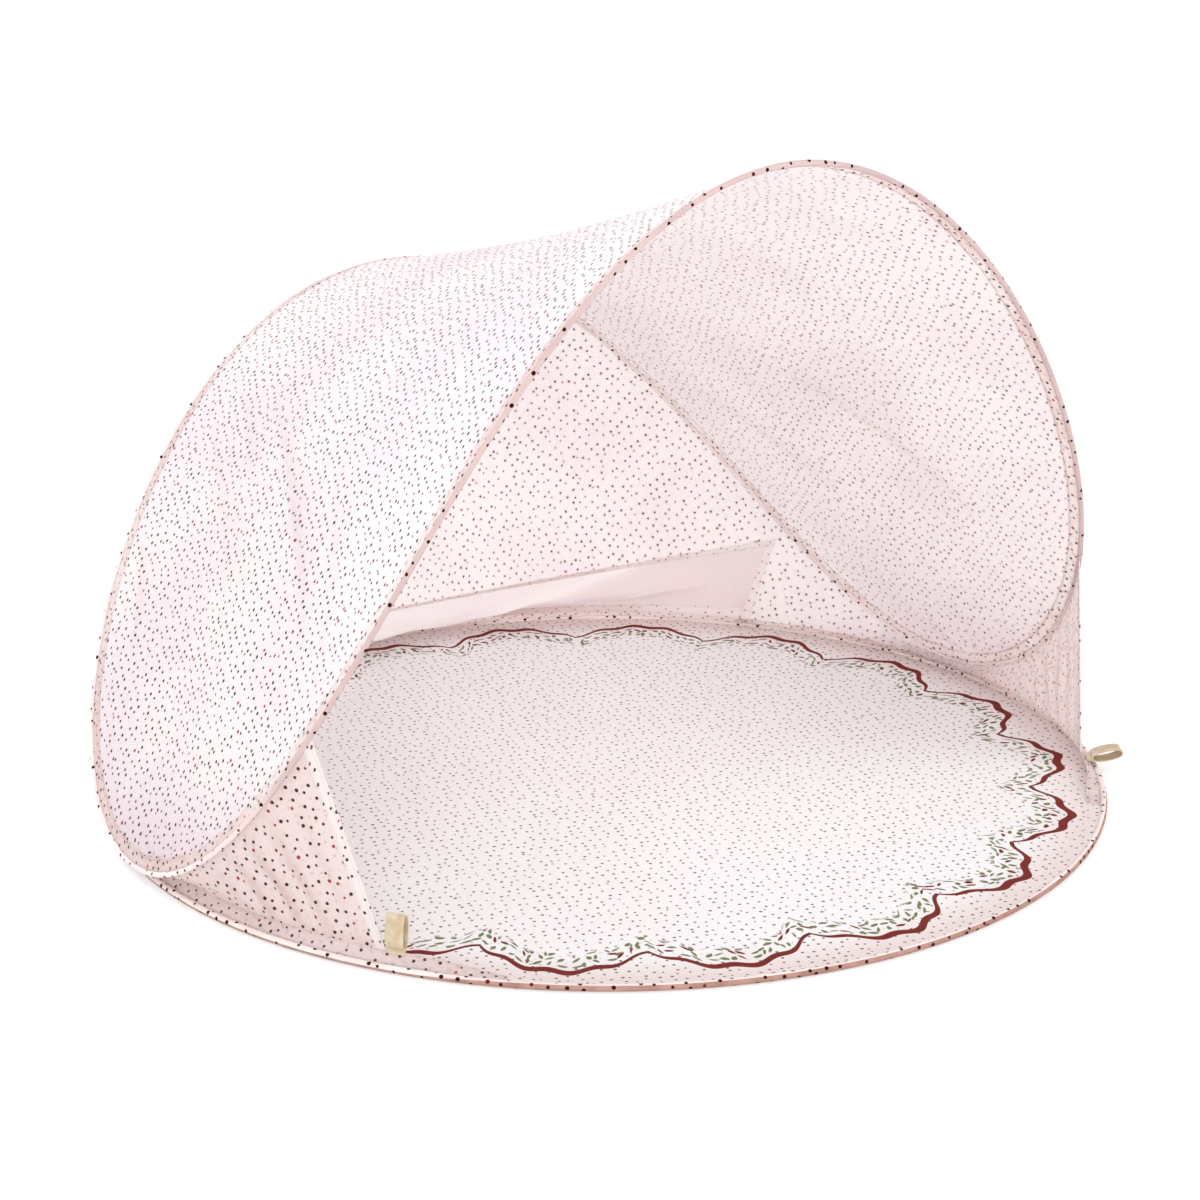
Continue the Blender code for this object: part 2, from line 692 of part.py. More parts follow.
clear_scene()
tent = new_collection("beach_tent")
floor_piece("ground_sheet", 0.0, COATED_CLOTH)
floor_piece("floor_panel", FLOOR_THICKNESS + GAP, FLOOR_CLOTH)
rim_pieces()
canopy_hoop()
roof_panel()
back_wall()
window_pieces()
for side, label in ((1, "right"), (-1, "left")):
    front_gusset(side, label)
    rear_side_panel(side, label)
for name, ring_angle, lift in LOOPS:
    peg_loop(name, ring_angle, lift)
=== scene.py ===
"""The look of the beach tent: printed cloth, piping, hems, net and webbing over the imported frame.

X runs across the doorway, Y from the doorway to the back and Z up. Lengths are in metres and angles in
degrees. Angles round the canopy's hoop are 0 at the right foot, 90 at the rear apex and 270 at the front one.
"""

import json
from math import asin, atan2, cos, exp, hypot, pi, radians, sin

import bmesh
import bpy
import numpy as np
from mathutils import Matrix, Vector, noise


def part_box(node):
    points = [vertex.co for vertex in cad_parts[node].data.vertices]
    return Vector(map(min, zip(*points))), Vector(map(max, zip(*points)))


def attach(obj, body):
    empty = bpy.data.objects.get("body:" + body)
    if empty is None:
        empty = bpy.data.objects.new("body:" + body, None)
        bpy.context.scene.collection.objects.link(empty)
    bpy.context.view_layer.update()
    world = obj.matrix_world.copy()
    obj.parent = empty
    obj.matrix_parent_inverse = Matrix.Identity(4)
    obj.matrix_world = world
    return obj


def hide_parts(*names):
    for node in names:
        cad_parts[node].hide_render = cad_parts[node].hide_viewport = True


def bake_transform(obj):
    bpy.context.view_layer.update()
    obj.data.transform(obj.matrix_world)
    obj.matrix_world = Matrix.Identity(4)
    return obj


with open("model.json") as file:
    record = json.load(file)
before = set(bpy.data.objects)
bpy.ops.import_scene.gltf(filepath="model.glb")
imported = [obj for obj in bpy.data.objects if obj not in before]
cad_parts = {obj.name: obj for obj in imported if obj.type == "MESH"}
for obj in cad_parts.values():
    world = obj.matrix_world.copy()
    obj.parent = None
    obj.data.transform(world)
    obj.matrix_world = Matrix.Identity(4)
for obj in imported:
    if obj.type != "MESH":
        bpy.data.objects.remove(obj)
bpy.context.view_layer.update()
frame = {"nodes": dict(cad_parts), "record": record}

# The front arch's hinge, read from the frame.
FOLD = next(joint for joint in frame["record"]["behaviour"]["joints"] if joint["name"] == "front_arch_fold")
FOLD_PLACE = FOLD["pos_m"]
FOLD_TURN = radians(FOLD["range_deg"][1])

# Floor ring, read from the frame.
RING_LOW, RING_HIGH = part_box("floor_hoop_wire")
WIRE_RADIUS = (RING_HIGH.z - RING_LOW.z) / 2
RING_RADIUS = RING_HIGH.x - WIRE_RADIUS
BEAD_RADIUS = (RING_HIGH.z + RING_LOW.z) / 2
FLOOR_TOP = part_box("floor_panel")[1].z

# Bands beside the beads, and how the rim's band rises away from the doorway, in degrees.
RIM_BAND = 0.024
HOOP_BAND = 0.022
BAND_THICKNESS = 0.0014
BAND_LIFT = 42.0
BAND_DROP = 8.1
DOORWAY_FLAT = 43.0
DOORWAY_LIFTED = 55.0
PUCKER = 0.0012
PUCKER_LENGTH = 0.017
HOOP_SEED = 3.7
RIM_SEED = 8.2

# Canopy hoop, as in the part's source.
HOOP_HALF_WIDTH = 0.740
HOOP_SQUARENESS = 0.0362
FOOT_Y = 0.010
FRONT_APEX_Y = -0.411
FRONT_APEX_Z = 0.956
REAR_APEX_Y = 0.603
REAR_APEX_Z = 0.673
DEPTH_SWELL = 0.0362
HEIGHT_SWELL = 0.0009
DEPTH_FLATNESS = 0.0044
HEIGHT_FLATNESS = 0.0152
BEAD_GAP = 0.0003
LOWEST_ANGLES = range(-20, 40)
ROOF_TIP_ANGLE = 20.0
FIRST_RULING = 1.0
TANGENT_STEP = 0.5

# Piping: it bulges over the ferrule at the front apex, and its band changes from the roof's outside to the
# inside just in front of the feet, from where painted shade on the bead deepens towards the front apex.
# Angles are in degrees of the hoop.
PIPING_RADIUS = 0.0036
BEAD_REACH = 1.01
FERRULE_SWELL = 0.25
FERRULE_ANGLE = 270.0
FERRULE_SPREAD = 3.5
BAND_CROSSES = 8.0
BAND_CROSSING = 3.0
PIPING_SHADE_CHANGE = 25.0

# Edges of the pieces, on the hoop and on the ring.
GUSSET_HOOP_ANGLE = 32.0
GUSSET_RING_ANGLE = 32.0
WINDOW_HOOP_ANGLE = 36.0
WINDOW_RING_ANGLE = 35.0
WINDOW_SPAN = 90 - WINDOW_RING_ANGLE
WINDOW_SIDE_SHARE = 0.85
WINDOW_CENTRE_Y = 0.616
WINDOW_CENTRE_Z = 0.092
WINDOW_STEP = 0.01
WINDOW_SILL = 0.018
WINDOW_HEM = 0.012
GUSSET_HEM = 0.012
GUSSET_HEM_LAP = 0.004

# Floor: over the rim's band where its lift is below the first value, and under it above the second.
FLOOR_OVER_UNTIL = 0.12
FLOOR_UNDER_FROM = 0.72
FLOOR_EDGE_START = 0.004
FLOOR_EDGE_RISE = 0.0030
FLOOR_TUCK = 0.85
FLOOR_RIPPLE = 0.0006
FLOOR_RIPPLE_LENGTH = 0.13
GROUND_TUCK = 0.6
GROUND_SHEET_MIDDLE = 0.0006
GROUND_SHEET_THICKNESS = 0.0009

# Cloth.
CLOTH_THICKNESS = 0.0007
HEM_THICKNESS = 0.0018
NET_THICKNESS = 0.0005
EDGE_OVERLAP = 0.0006
ROOF_SAG = 0.020
ROOF_FOLD = 0.007
ROOF_FOLD_WAVES = 1.5
ROOF_FOLD_SLANT = 0.011
LOBE_ANGLE = 38.0
LOBE_SPREAD = 14.0
FOOT_FOLD = 0.0028
FOOT_FOLD_ANGLE = 15.0
FOOT_FOLD_WAVES = 3.5
FOOT_FOLD_SLANT = 0.03
ROOF_END = 3.0
ROOF_LAP = 0.003
BAND_CLEARANCE = 0.0003
WALL_SAG = 0.012
GUSSET_MIDDLE = 4 / 27
GUSSET_FOLD = 0.00318
GUSSET_FOLD_WAVES = 2.0
GUSSET_FOLD_SLANT = 1.1
GUSSET_WRINKLE = 0.0006
GUSSET_WRINKLE_LENGTH = 0.05
GUSSET_CREASE = 0.0030
GUSSET_CREASE_LENGTH = 0.115
GUSSET_CREASE_SLANT = 0.07
GUSSET_CREASE_PLACE = 0.68
GUSSET_CREASE_SPREAD = 0.22
GUSSET_CREASE_FULLNESS = 0.7
NET_BELLY = 0.026
NET_FOLD_SHARE = 0.18
NET_FOLD_WAVES = 1.4
NET_FOLD_SLANT = 0.55
NET_FINE_FOLD = 0.0018
NET_FINE_WAVES = 6.0
NET_FINE_SLANT = 0.8
NET_LAP = 0.001
NET_CREASE = 0.0050
NET_CREASE_WIDTH = 0.016
NET_CREASE_FULLNESS = 0.5
NET_SHAPE = 0.18
NET_CREASES = (
    ((0.08, 0.20), (0.66, 1.0)),
    ((0.40, 0.10), (0.93, 0.52)),
    ((-0.55, 0.80), (-0.15, 0.25)),
)

# Sharp creases of the roof: first turn and share, last turn and share, and depth. Their form across and the
# painted shade beside them are bells, each with its height, place and width in crease widths.
CREASE = 0.0030
CREASE_WIDTH = 0.011
CREASE_BEND = 0.02
CREASE_FORM = ((1.0, 0.0, 1.0), (-0.55, 1.7, 1.0))
CREASE_SHADOW = ((1.0, 0.9, 1.0), (0.4, 3.5, 2.4))
CREASE_SHADOW_FULLNESS = 0.7
CREASES = (
    (116.0, 0.20, 141.0, 0.79, 1.0),
    (112.0, 0.02, 127.0, 0.33, 0.45),
    (119.0, 0.06, 136.0, 0.40, 0.6),
    (131.0, 0.02, 143.0, 0.10, 0.8),
    (124.0, 0.55, 146.0, 0.93, 0.45),
    (40.0, 0.30, 58.0, 0.05, 0.6),
    (36.0, 0.72, 62.0, 0.30, 0.8),
)
WRINKLE = 0.0012
WRINKLE_LENGTH = 0.11
SIDE_WRINKLE_LENGTH = 0.06
BACK_WRINKLE_LENGTH = 0.09

# How deep the painted shade in folds and at seams is, from 0 to 1, and where.
CREASE_SHADE = 0.34
LOBE_SHADE = 0.10
LOBE_SHADOW = ((46.0, 13.0), (0.38, 0.26))
FOOT_SHADE = 0.26
FOOT_SHADOW_END = 34.0
FOOT_SHADOW_CHANGE = 26.0
GUSSET_SHADES = (0.38, 0.30, 0.18, 0.14)
SEAM_SHADE_WIDTH = 0.05
NET_SHADE = 0.55
NET_SHADE_ABOVE = 0.1925
NET_SHADE_LEAST = 0.06
NET_SHADE_START = -0.1
NET_SHADE_CHANGE = 0.5
NET_RIDGE_LIGHT = 0.4
NET_RIDGE_WIDTH = 0.02

# Peg loops: angle round the ring and lift from the ground.
WEBBING_WIDTH = 0.025
WEBBING_THICKNESS = 0.0016
LOOP_LENGTH = 0.052
LOOP_OPENING = 0.013
LOOP_ROOT = 0.008
LOOP_INSET = 0.004
LOOP_FULLNESS = 0.7
WEBBING_CURL = 0.0012
WEBBING_FILL = 0.94
LOOPS = (
    ("peg_loop_front_left", 213.4, 96.0),
    ("peg_loop_front_right", 326.6, 12.0),
    ("peg_loop_rear_left", 144.0, 4.0),
    ("peg_loop_rear_right", 36.0, 20.0),
)

# How much of the front arch's turn each part of the hoop takes, and how low the folded roof comes.
FOOT_STILL = 25.0
FRONT_RIGID = 40.0
REAR_RIGID = 60.0
REAR_SHARE = 0.235
FOLDED_ROOF_LOWEST = 0.009

# Fineness of the meshes.
HOOP_STEP = 1.5
RING_STEP = 2.0
ROOF_COLUMNS = 80
ROOF_ROWS = 174
WALL_ROWS = 26
BACK_COLUMNS = 96
GUSSET_COLUMNS = 72
HEM_COLUMNS = 5
HEM_ROWS = 60
SIDE_COLUMNS = 40
SIDE_ROWS = 16
FRAME_COLUMNS = 84
NET_COLUMNS = 140
NET_ROWS = 30
BEAD_SIDES = 14
WIRE_SIDES = 10
LIP_STEPS = 8
LOOP_STEPS = 28
ROOT_STEPS = 5
WEBBING_COLUMNS = 10
SHARP_ANGLE = 40.0
BEAD_SHARP_ANGLE = 60.0
SMALLEST_LENGTH = 1e-6
SMALLEST_AREA = 1e-12

# Print: each kind of dots has its spacing and radius. Angles are in radians here.
PRINT_ANGLE = 0.62
FLOOR_PRINT_ANGLE = 0.24
PRINT_RAGGEDNESS = 0.6
GUSSET_SHIFT = 0.3
GUSSET_SHIFT_APART = 0.4
SIDE_SHIFT = 1.7
SIDE_SHIFT_APART = 0.3
BACK_SHIFT = 2.9
NET_SHIFT = 0.1
INK_EDGE = 0.0003
SMALLEST_DOT = 0.75
DOT_SPREAD = 0.45
SECOND_INK_FROM = 0.62
LAST_INK_FROM = 0.88
DOTS = (0.0142, 0.0021)
INNER_DOTS = (0.0142, 0.0014)
FLOOR_DOTS = (0.0150, 0.0020)
GUSSET_DOTS = (0.0158, 0.0022)
BAND_DOTS = (0.0150, 0.0020)
PIPING_DOTS = (0.019, 0.0025)
RIM_DOTS = (0.0158, 0.0025)

# Weave and stitching.
WEAVE_PITCH = 0.0006
WEAVE_DEPTH = 0.00004
COATED_PITCH = 0.0012
KNIT_PITCH = 0.0011
TWILL_PITCH = 0.0011
CHEVRON = 0.004
STITCH_PITCH = 0.0036
STITCH_WIDTH = 0.0006
THREAD_RELIEF = 0.0003
HEM_STITCH_INSET = 0.0025
BEAD_STITCH_INSET = 0.0012
SEAM_EDGE = 0.0004
CLOTH_CLEARNESS = 0.62
GUSSET_CLEARNESS = 0.58
WRAPPED_SHARES = (0.36, 0.80)
NET_COVER = 0.62
NET_HOLES = 0.2
STEEL_ROUGHNESS = 0.25
STEEL_GRAIN = 0.2

# Printed border on the floor: scallops with leaves and petals inside them.
BORDER_RADIUS = 0.650
BORDER_SCALLOPS = 18
BORDER_DEPTH = 0.058
BORDER_LINE = 0.0125
BORDER_LINE_SWELL = 0.3 * BORDER_LINE
BORDER_LINE_LEAST = 0.25 * BORDER_LINE
BORDER_RIPPLE = 0.0045
LEAF_BAND = 0.056
LEAF_BAND_EDGE = 0.012
LEAF_RAGGEDNESS = 0.75
LEAF_SPACING = 0.0142
LEAF_LENGTH = 0.0080
LEAF_WIDTH = 0.0036
LEAF_SPREAD = 0.6 * LEAF_WIDTH

UP = np.array([0.0, 0.0, 1.0])
INSIDE = np.array([0.0, 0.1, 0.3])


def srgb(red, green, blue):
    """A colour from its screen values, 0 to 255, as the linear one that shaders take."""
    linear = [((value / 255 + 0.055) / 1.055) ** 2.4 for value in (red, green, blue)]
    return (*linear, 1.0)


CLOTH_OUTSIDE = srgb(254, 252, 253)
CLOTH_OUTSIDE_COOL = srgb(250, 247, 252)
CLOTH_INSIDE = srgb(250, 244, 243)
CLOTH_INSIDE_WARM = srgb(248, 241, 240)
# The front gussets' outside and their hems: the dotted cloth's colour, painted darker and warmer with the
# shade that the front corners stand in.
SHADED_GUSSET_CLOTH = srgb(245, 236, 234)
SHADED_GUSSET_COOL = srgb(246, 239, 238)
FLOOR_CLOTH = srgb(253, 252, 253)
FLOOR_CLOTH_WARM = srgb(252, 250, 250)
FLOOR_MARGIN = srgb(242, 230, 228)
PIPING = srgb(234, 219, 219)
HEM = srgb(245, 232, 229)
RIM_TAPE = srgb(236, 219, 216)
RIM_STRIP = srgb(251, 243, 243)
RIM_STRIP_WARM = srgb(247, 236, 234)
NET = srgb(251, 243, 244)
COATING = srgb(196, 158, 138)
COATING_DARK = srgb(180, 140, 120)
WEBBING = srgb(241, 228, 204)
WEBBING_DARK = srgb(221, 198, 162)
THREAD = srgb(226, 208, 202)
INK_BLACK = srgb(60, 14, 16)
INK_RED = srgb(104, 34, 28)
INK_BRICK = srgb(178, 52, 42)
INK_SHOWN_THROUGH = srgb(186, 104, 90)
INK_SHOWN_RED = srgb(212, 110, 84)
OUTER_INKS = (INK_BLACK, INK_RED, INK_BRICK)
DARK_INKS = (INK_BLACK, INK_BLACK, INK_RED)
FLOOR_INKS = (srgb(82, 40, 38), INK_RED, srgb(110, 100, 80))
INNER_INKS = (INK_SHOWN_THROUGH, INK_SHOWN_RED, INK_RED)
# Tones that painted shade multiplies the colour towards: in the folds, at the seams, and on the front arch's
# bead.
PAINTED_SHADE_OUTSIDE = (0.87, 0.76, 0.80, 1.0)
PAINTED_SHADE_INSIDE = (0.89, 0.80, 0.80, 1.0)
PAINTED_SHADE_GUSSET = (0.66, 0.47, 0.42, 1.0)
SHADED_PIPING = (0.72, 0.62, 0.62, 1.0)
EDGE_WRAP = srgb(190, 150, 138)
EDGE_WRAP_DARK = srgb(170, 130, 116)
INK_MAROON = srgb(126, 50, 44)
INK_OLIVE = srgb(122, 132, 92)
STEEL = srgb(150, 150, 152)
STEEL_DARK = srgb(120, 120, 124)


def unit(vector):
    return vector / np.linalg.norm(vector)


def arc(share):
    """Half a sine wave: 0 at both ends and 1 in the middle."""
    return sin(pi * share)


def hump(share):
    """A parabola: 0 at both ends and 1 in the middle."""
    return 4 * share * (1 - share)


def bell(away, width):
    """1 at its middle, falling off over the width."""
    return exp(-((away / width) ** 2))


def bells(away, forms):
    """Bells of several heights, places and widths, added up."""
    return sum(height * bell(away - place, width) for height, place, width in forms)


def blend(first, last, share):
    return first + (last - first) * share


def smooth(share):
    share = min(max(share, 0.0), 1.0)
    return share * share * (3 - 2 * share)


def wave(turns):
    return sin(2 * pi * turns)


def mirrored(points, side):
    return points * np.array([side, 1.0, 1.0])


def steps(first, last, count):
    return np.linspace(first, last, count + 1)


def wrinkles(point, length):
    """A smooth random height between about -1 and 1, the same at every run."""
    return noise.noise(Vector(point) / length)


def distances(points, closed=False):
    """Distance of each point from the first along the path, and of the first again if it is closed."""
    path = np.array([*points, points[0]] if closed else points)
    return np.concatenate([[0.0], np.cumsum(np.linalg.norm(np.diff(path, axis=0), axis=1))])


def outward(angle):
    turn = radians(angle)
    return np.array([cos(turn), sin(turn), 0.0])


# Ring and hoop.
def ring_point(angle):
    return outward(angle) * RING_RADIUS + UP * BEAD_RADIUS


def band_lift(angle):
    """0 along the doorway, where the rim's band lies flat, and 1 where the walls hold it up."""
    from_doorway = abs((angle - 270 + 180) % 360 - 180)
    return smooth((from_doorway - DOORWAY_FLAT) / (DOORWAY_LIFTED - DOORWAY_FLAT))


def band_frame(angle):
    """Direction of the rim's band, and the direction square to it on its upper side."""
    tilt = radians(blend(-BAND_DROP, BAND_LIFT, band_lift(angle)))
    return (UP * sin(tilt) - outward(angle) * cos(tilt),
            UP * cos(tilt) + outward(angle) * sin(tilt))


def rim_end(angle):
    return ring_point(angle) + band_frame(angle)[0] * RIM_BAND


def hoop_wave(angle, foot, front, rear, swell, flatness):
    """Depth or height of the hoop at an angle, through its value at the feet and at both apexes."""
    turn = radians(angle)
    middle = (front + rear) / 2
    return (
        (foot + middle) / 2 - flatness
        + ((rear - front) / 2 + swell) * sin(turn)
        + (foot - middle) / 2 * cos(2 * turn)
        + swell * sin(3 * turn)
        + flatness * cos(4 * turn)
    )


def hoop_height(angle, foot):
    return hoop_wave(angle, foot, FRONT_APEX_Z, REAR_APEX_Z, HEIGHT_SWELL, HEIGHT_FLATNESS)


def resting_foot():
    """Height of the hoop's foot at which its lowest point lies just above the rim."""
    lowest = 3 * BEAD_RADIUS + BEAD_GAP
    return 2 * lowest - min(hoop_height(angle, lowest) for angle in LOWEST_ANGLES)


FOOT_Z = resting_foot()


def hoop_point(angle):
    turn = radians(angle)
    across = (1 + HOOP_SQUARENESS) * cos(turn) - HOOP_SQUARENESS * cos(3 * turn)
    return np.array([
        HOOP_HALF_WIDTH * across,
        hoop_wave(angle, FOOT_Y, FRONT_APEX_Y, REAR_APEX_Y, DEPTH_SWELL, DEPTH_FLATNESS),
        hoop_height(angle, FOOT_Z),
    ])


def hoop_tangent(angle):
    return unit(hoop_point(angle + TANGENT_STEP) - hoop_point(angle - TANGENT_STEP))


def roof_normal(angle):
    """Outward direction of the roof at its edge, square to the line to the opposite edge."""
    turn = min(max(abs((angle + 180) % 360 - 180), FIRST_RULING), 180 - FIRST_RULING)
    ruling = unit(hoop_point(-turn) - hoop_point(turn))
    ahead = hoop_point(-turn - TANGENT_STEP) + hoop_point(turn + TANGENT_STEP)
    behind = hoop_point(-turn + TANGENT_STEP) + hoop_point(turn - TANGENT_STEP)
    return unit(np.cross(unit(ahead - behind), ruling))


def roof_inward(angle):
    """Direction from the hoop into the roof cloth, square to the wire."""
    inward = unit(np.cross(hoop_tangent(angle), roof_normal(angle)))
    turn = abs((angle + 180) % 360 - 180)
    inside = min(max(turn, ROOF_TIP_ANGLE), 180 - ROOF_TIP_ANGLE)
    middle = (hoop_point(inside) + hoop_point(-inside)) / 2
    return inward if inward @ (middle - hoop_point(angle)) > 0 else -inward


def from_foot(angle):
    """The angle measured from the nearer foot: negative towards the front apex, positive towards the rear."""
    angle = (angle + 90) % 360 - 90
    return 180 - angle if angle > 90 else angle


def held_up(point, share, lowest):
    """The share of the front arch's turn, cut back where it would take the point below the lowest height."""
    y, z = point[1] - FOLD_PLACE[1], point[2] - FOLD_PLACE[2]
    depth = (FOLD_PLACE[2] - lowest) / hypot(y, z)
    if depth >= 1:
        return share
    return min(share, max(0.0, (atan2(z, y) + asin(depth)) / FOLD_TURN))


def arch_share(angle):
    """Share of the front arch's turn that the hoop takes at this angle."""
    away = from_foot(angle)
    if away < 0:
        return smooth((-away - FOOT_STILL) / (FRONT_RIGID - FOOT_STILL))
    return held_up(hoop_point(angle), REAR_SHARE * smooth(away / REAR_RIGID), hoop_point(0)[2])


# Meshes.
def flatten(grid, rounds=60):
    """Places of the grid's points on the flat cloth, which keep their distances as nearly as they can."""
    middle_u, middle_v = grid.shape[0] // 2, grid.shape[1] // 2
    along = distances(grid[:, middle_v])
    across = np.array([distances(row) for row in grid])
    flat = np.stack([
        np.repeat((along - along[middle_u])[:, None], grid.shape[1], axis=1),
        across - across[:, middle_v:middle_v + 1],
    ], axis=2)
    for stride in (8, 4, 2, 1):
        for _ in range(rounds):
            push, count = np.zeros_like(flat), np.zeros((*flat.shape[:2], 1))
            for near, far in neighbours(stride):
                wanted = np.linalg.norm(grid[far] - grid[near], axis=2, keepdims=True)
                line = flat[far] - flat[near]
                length = np.maximum(np.linalg.norm(line, axis=2, keepdims=True), SMALLEST_LENGTH)
                move = line * (1 - wanted / length) / 2
                push[near] += move
                push[far] -= move
                count[near] += 1
                count[far] += 1
            flat += push / np.maximum(count, 1)
    return flat


def neighbours(stride):
    """Pairs of slices that match each point of a grid with its neighbours a stride away."""
    start, end, whole = slice(None, -stride), slice(stride, None), slice(None)
    return (
        ((start, whole), (end, whole)),
        ((whole, start), (whole, end)),
        ((start, start), (end, end)),
        ((start, end), (end, start)),
    )


def grid_object(name, points, flat, shares=None, closed_u=False, closed_v=False, keep=None, shade=None):
    """A mesh over a grid of points. flat has one more row or column than points where the grid closes."""
    count_u, count_v = points.shape[:2]
    faces, corners = [], []
    for i in range(count_u - (not closed_u)):
        for j in range(count_v - (not closed_v)):
            if keep is None or keep(i, j):
                quad = ((i, j), (i + 1, j), (i + 1, j + 1), (i, j + 1))
                faces.append([a % count_u * count_v + b % count_v for a, b in quad])
                corners += [flat[a][b] for a, b in quad]
    mesh = bpy.data.meshes.new(name)
    mesh.from_pydata(points.reshape(-1, 3).tolist(), [], faces)
    mesh.uv_layers.new(name="cloth").data.foreach_set("uv", np.array(corners, np.float32).ravel())
    for label, values in (("arch_share", shares), ("shade", shade)):
        if values is not None:
            values = np.clip(np.array(values, np.float32), 0, 1)
            mesh.attributes.new(label, "FLOAT", "POINT").data.foreach_set("value", values.ravel())
    mesh.shade_smooth()
    return linked(name, mesh)


def linked(name, data):
    obj = bpy.data.objects.new(name, data)
    bpy.context.scene.collection.objects.link(obj)
    return obj


def face_outward(obj, inside=INSIDE):
    """Turns a sheet so that its faces look away from the inside of the tent."""
    lean = sum((face.center - Vector(inside)).dot(face.normal) * face.area for face in obj.data.polygons)
    if lean < 0:
        obj.data.flip_normals()
    return obj


def thickened(obj, thickness, outer, inner):
    """A closed sheet: outer covers its first side and its edges, and inner its other side."""
    obj.data.materials.append(outer)
    obj.data.materials.append(inner)
    solidify = obj.modifiers.new("Thickness", "SOLIDIFY")
    solidify.thickness = thickness
    solidify.offset = 0.0
    solidify.material_offset = 1
    graph = bpy.context.evaluated_depsgraph_get()
    mesh = bpy.data.meshes.new_from_object(
        obj.evaluated_get(graph), preserve_all_data_layers=True, depsgraph=graph)
    obj.modifiers.clear()
    obj.data = mesh
    mesh.set_sharp_from_angle(angle=radians(SHARP_ANGLE))
    return obj


def bend_with_arches(obj):
    """Reads each point's share of the front arch's turn, drops it from the mesh, and bakes the object's place
    into its points.
    """
    shares = np.zeros(len(obj.data.vertices), np.float32)
    obj.data.attributes["arch_share"].data.foreach_get("value", shares)
    obj.data.attributes.remove(obj.data.attributes["arch_share"])
    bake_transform(obj)
    return obj


def sweep(name, sections, stations, around, material, shares=None, shade=None):
    """A closed outline carried round a ring. Flat places are the stations and the way round the outline."""
    flat = np.array([[(station, place) for place in around] for station in stations])
    obj = grid_object(name, np.array(sections), flat, shares, closed_u=True, closed_v=True, shade=shade)
    obj.data.materials.append(material)
    obj.data.set_sharp_from_angle(angle=radians(BEAD_SHARP_ANGLE))
    return face_outward(obj)


